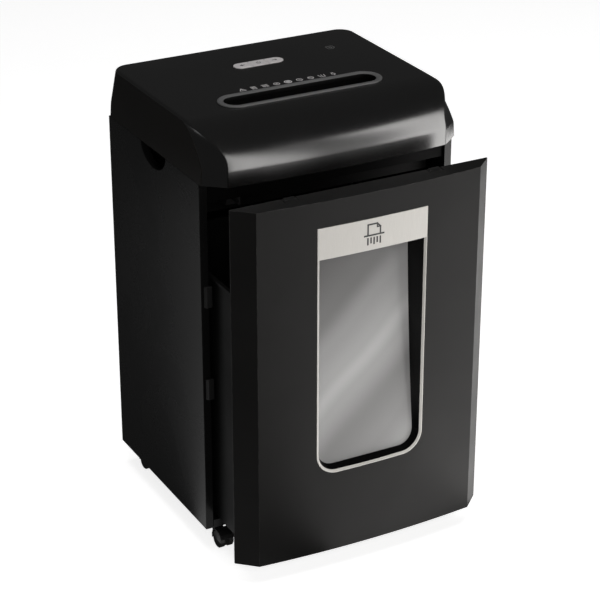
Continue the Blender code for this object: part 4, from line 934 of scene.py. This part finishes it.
def frame_trim():
    """The silver frame: a broad band on top, and a thin rim whose inner face slopes to the window."""
    ring = window_slab("frame_trim", -FRAME_PROUD, FRAME_SEAT)
    carve(ring, prism("outline", window_outline(0.0), FACE_NEAR, FACE_FAR, axis="Y"), "INTERSECT")
    foot = WINDOW_TOP - BAND
    rise = sum(z < foot - 0.004 for x, z in window_side(RIM))

    def opening(inset, level):
        side = window_side(inset)[:rise] + [(WINDOW_HALF - inset, foot)]
        return [(x, level(x), z) for x, z in side + [(-x, z) for x, z in reversed(side)]]
    carve(ring, loft("opening", [
        opening(RIM_LAND, lambda x: FACE_NEAR), opening(RIM_LAND, lambda x: bow(x, FRAME_PROUD)),
        opening(RIM, lambda x: bow(x, GAP - FRAME_SEAT)), opening(RIM, lambda x: FACE_FAR)]))
    fit(soften(ring, 0.0005, 3), "bin", "satin_silver", "window_frame")
    sheet = path([(-0.62, 0.0), (-0.62, 0.95), (0.30, 0.95), (0.62, 0.62), (0.62, 0.0)], 0.15)
    sheet += [bar(-0.95, -0.08, 0.95, -0.08, 0.15)]
    sheet += [bar(0.30, 0.93, 0.30, 0.62, 0.12), bar(0.30, 0.62, 0.60, 0.62, 0.12)]
    sheet += [bar(0.31 * i, -0.36, 0.31 * i, -0.90 + 0.12 * (i % 2), 0.15) for i in range(-2, 3)]

    def place(u, v, height):
        return (u, bow(u, FRAME_PROUD - INK_SUNK + 0.0003 * height), WINDOW_TOP - BAND / 2 + v)
    fit(marks("band_sign", sheet, BAND_SIGN, place), "bin", "trim_black")


def pocket_back(z):
    """How far back the pocket's rear edge lies at this height: it leans and swells a little."""
    foot = WINDOW_BOTTOM + RIM
    share = (z - foot) / (WINDOW_TOP - BAND - foot)
    depth = POCKET_SHALLOW + (POCKET_DEEP - POCKET_SHALLOW) * share + 4 * PANE_SWELL * share * (1 - share)
    return BIN_Y - CHAMFER - BOW + depth


def pocket_skin():
    inner = RIM - POCKET_LIP
    outer = inner - POCKET_WALL

    def front_ring(inset, back=0.0):
        return [(x, bow(x) + FRONT_WALL + GAP + back, z) for x, z in window_outline(inset)]

    def back_ring(inset, near=0.0):
        return [(x, pocket_back(z) - near, z) for x, z in window_outline(inset, POCKET_DRAFT)]

    pocket = loft("pocket_skin", [
        front_ring(outer), back_ring(outer), back_ring(inner + 0.0006), back_ring(inner, 0.0008),
        front_ring(inner, 0.0008), front_ring(inner - 0.0005)], closed=True, crease=50)
    fit(pocket, "bin", "pocket_black", "window_pocket")
    rows = []
    for x, z in window_side(outer, POCKET_DRAFT):
        near = pocket_back(z) + GAP
        rows.append([(-x, near, z), (x, near, z), (x, near + PANE, z), (-x, near + PANE, z)])
    fit(soften(loft("pane_skin", rows), 0.0004), "bin", "smoked_pane", "window_pane")


# Pieces of the frame that keep their shape

def ease_solids():
    """Rounds the sharp edges of the plain panels and housings that show."""
    widths = {"inner_panel": 0.0004}
    widths.update(dict.fromkeys(("side_panel_left", "side_panel_right", "base_panel"), 0.0008))
    widths.update(dict.fromkeys(("rear_panel", "top_rail", "bin_tub", "head_base"), 0.0006))
    for side in ("left", "right"):
        for place in ("upper", "lower"):
            widths[f"catch_block_{side}_{place}"] = 0.0006
        for row in ("front", "rear"):
            widths[f"castor_hood_{row}_{side}"] = 0.0005
            widths[f"castor_wheels_{row}_{side}"] = 0.0005
    for name, width in widths.items():
        solid = frame["nodes"][name]
        weld = solid.modifiers.new("weld", "WELD")
        weld.merge_threshold = 0.00001
        soften(solid, width)


def dress_solids():
    """Every solid of the frame takes the finish that the record gives it."""
    for part in frame["record"]["subparts"]:
        solid = frame["nodes"][part["node"]]
        finish = FINISHES[part["material_slot"]]
        if not solid.data.materials:
            solid.data.materials.append(finish)
        for held in solid.material_slots:
            held.link = "OBJECT"
            held.material = finish


# Studio

def area_light(name, centre, facing, width, height, radiance, tint=(1.0, 1.0, 1.0)):
    """A soft rectangle of light that shines one way. Radiance is its brightness as a mirror would show it."""
    data = bpy.data.lights.new(name, "AREA")
    data.shape = "RECTANGLE"
    data.size = width
    data.size_y = height
    data.energy = radiance * math.pi * width * height
    data.color = tint
    lamp = bpy.data.objects.new(name, data)
    lamp.location = centre
    lamp.rotation_euler = Vector(facing).to_track_quat("-Z", "Y").to_euler()
    lamp.visible_camera = False
    bpy.context.scene.collection.objects.link(lamp)
    return lamp


def leaning_card(name, turn, width, radiance, near=1.05, far=2.1, top=2.7, tint=(1.0, 1.0, 1.0)):
    """A light card that starts on the floor and leans away from the head, turned this far to its right."""
    out = Vector((math.sin(math.radians(turn)), -math.cos(math.radians(turn)), 0.0))
    up = Vector((0.0, 0.0, 1.0))
    foot = Vector((0.0, FRONT_Y, 0.02)) + out * near
    head = Vector((0.0, FRONT_Y, top)) + out * far
    slope = head - foot
    facing = up * slope.dot(out) - out * slope.dot(up)
    return area_light(name, (foot + head) / 2, facing, width, slope.length, radiance, tint)


def camera():
    turn, lift, distance = -0.49154, 0.44362, 2.8628
    target = Vector((0.0056, 0.0078, 0.2989))
    back = Vector((math.sin(turn) * math.cos(lift), -math.cos(turn) * math.cos(lift), math.sin(lift)))
    data = bpy.data.cameras.new("camera")
    data.sensor_width = 36.0
    data.lens = 124.59
    made = bpy.data.objects.new("camera", data)
    made.location = target + back * distance
    made.rotation_mode = "QUATERNION"
    made.rotation_quaternion = back.to_track_quat("Z", "Y")
    bpy.context.scene.collection.objects.link(made)
    bpy.context.scene.camera = made


def studio():
    scene = bpy.context.scene
    scene.view_settings.view_transform = "Standard"
    world = bpy.data.worlds.new("studio")
    world.use_nodes = True
    world.node_tree.nodes["Background"].inputs["Color"].default_value = (1.0, 1.0, 1.0, 1.0)
    world.node_tree.nodes["Background"].inputs["Strength"].default_value = 0.045
    scene.world = world
    floor = prism("floor", circle(14.0, 64), -0.02, 0.0)
    paper = Finish("floor_paper", Roughness=0.9, Emission_Strength=0.80)
    pale = paper.use("tone_drift", Scale=2.0, Dark=grey(0.80), Light=grey(0.84))["Color"]
    paper.feed("Base Color", pale)
    paper.shader.inputs["Emission Color"].default_value = (1.0, 1.0, 1.0, 1.0)
    floor.data.materials.append(paper.made)
    floor.visible_glossy = False
    floor.visible_diffuse = False
    warm = (1.0, 0.985, 0.97)
    for name, turn, width, radiance in (("left", 11, 0.36, 2.8), ("middle", 26, 0.36, 0.30),
                                        ("right", 48, 0.54, 3.4)):
        card = leaning_card(f"card_{name}", turn, width, radiance, tint=warm)
        card.visible_diffuse = False
    fill = area_light("front_fill", (-0.8, -2.5, 1.2), (0.8, 2.3, -0.8), 1.8, 1.6, 3.0, warm)
    fill.visible_glossy = False
    area_light("floor_right", (1.00, 0.10, 0.012), (0, 0, 1), 1.6, 1.1, 2.2, warm)
    area_light("floor_front", (0.45, -0.66, 0.012), (0, 0, 1), 1.0, 0.9, 2.4, warm)
    strip = area_light("floor_left", (-0.63, 0.358, 0.012), (0, 0, 1), 0.4, 1.5, 0.5)
    strip.rotation_euler.z = math.radians(28)
    strip.visible_diffuse = False
    overhead = area_light("overhead", (0.2, -0.2, 2.8), (0, 0, -1), 2.0, 2.0, 2.8)
    overhead.visible_glossy = False


camera()
studio()
dress_solids()
ease_solids()
cover_skin()
cheek_skins()
slot_ring()
cover_marks()
key_caps()
front_skin()
frame_trim()
pocket_skin()
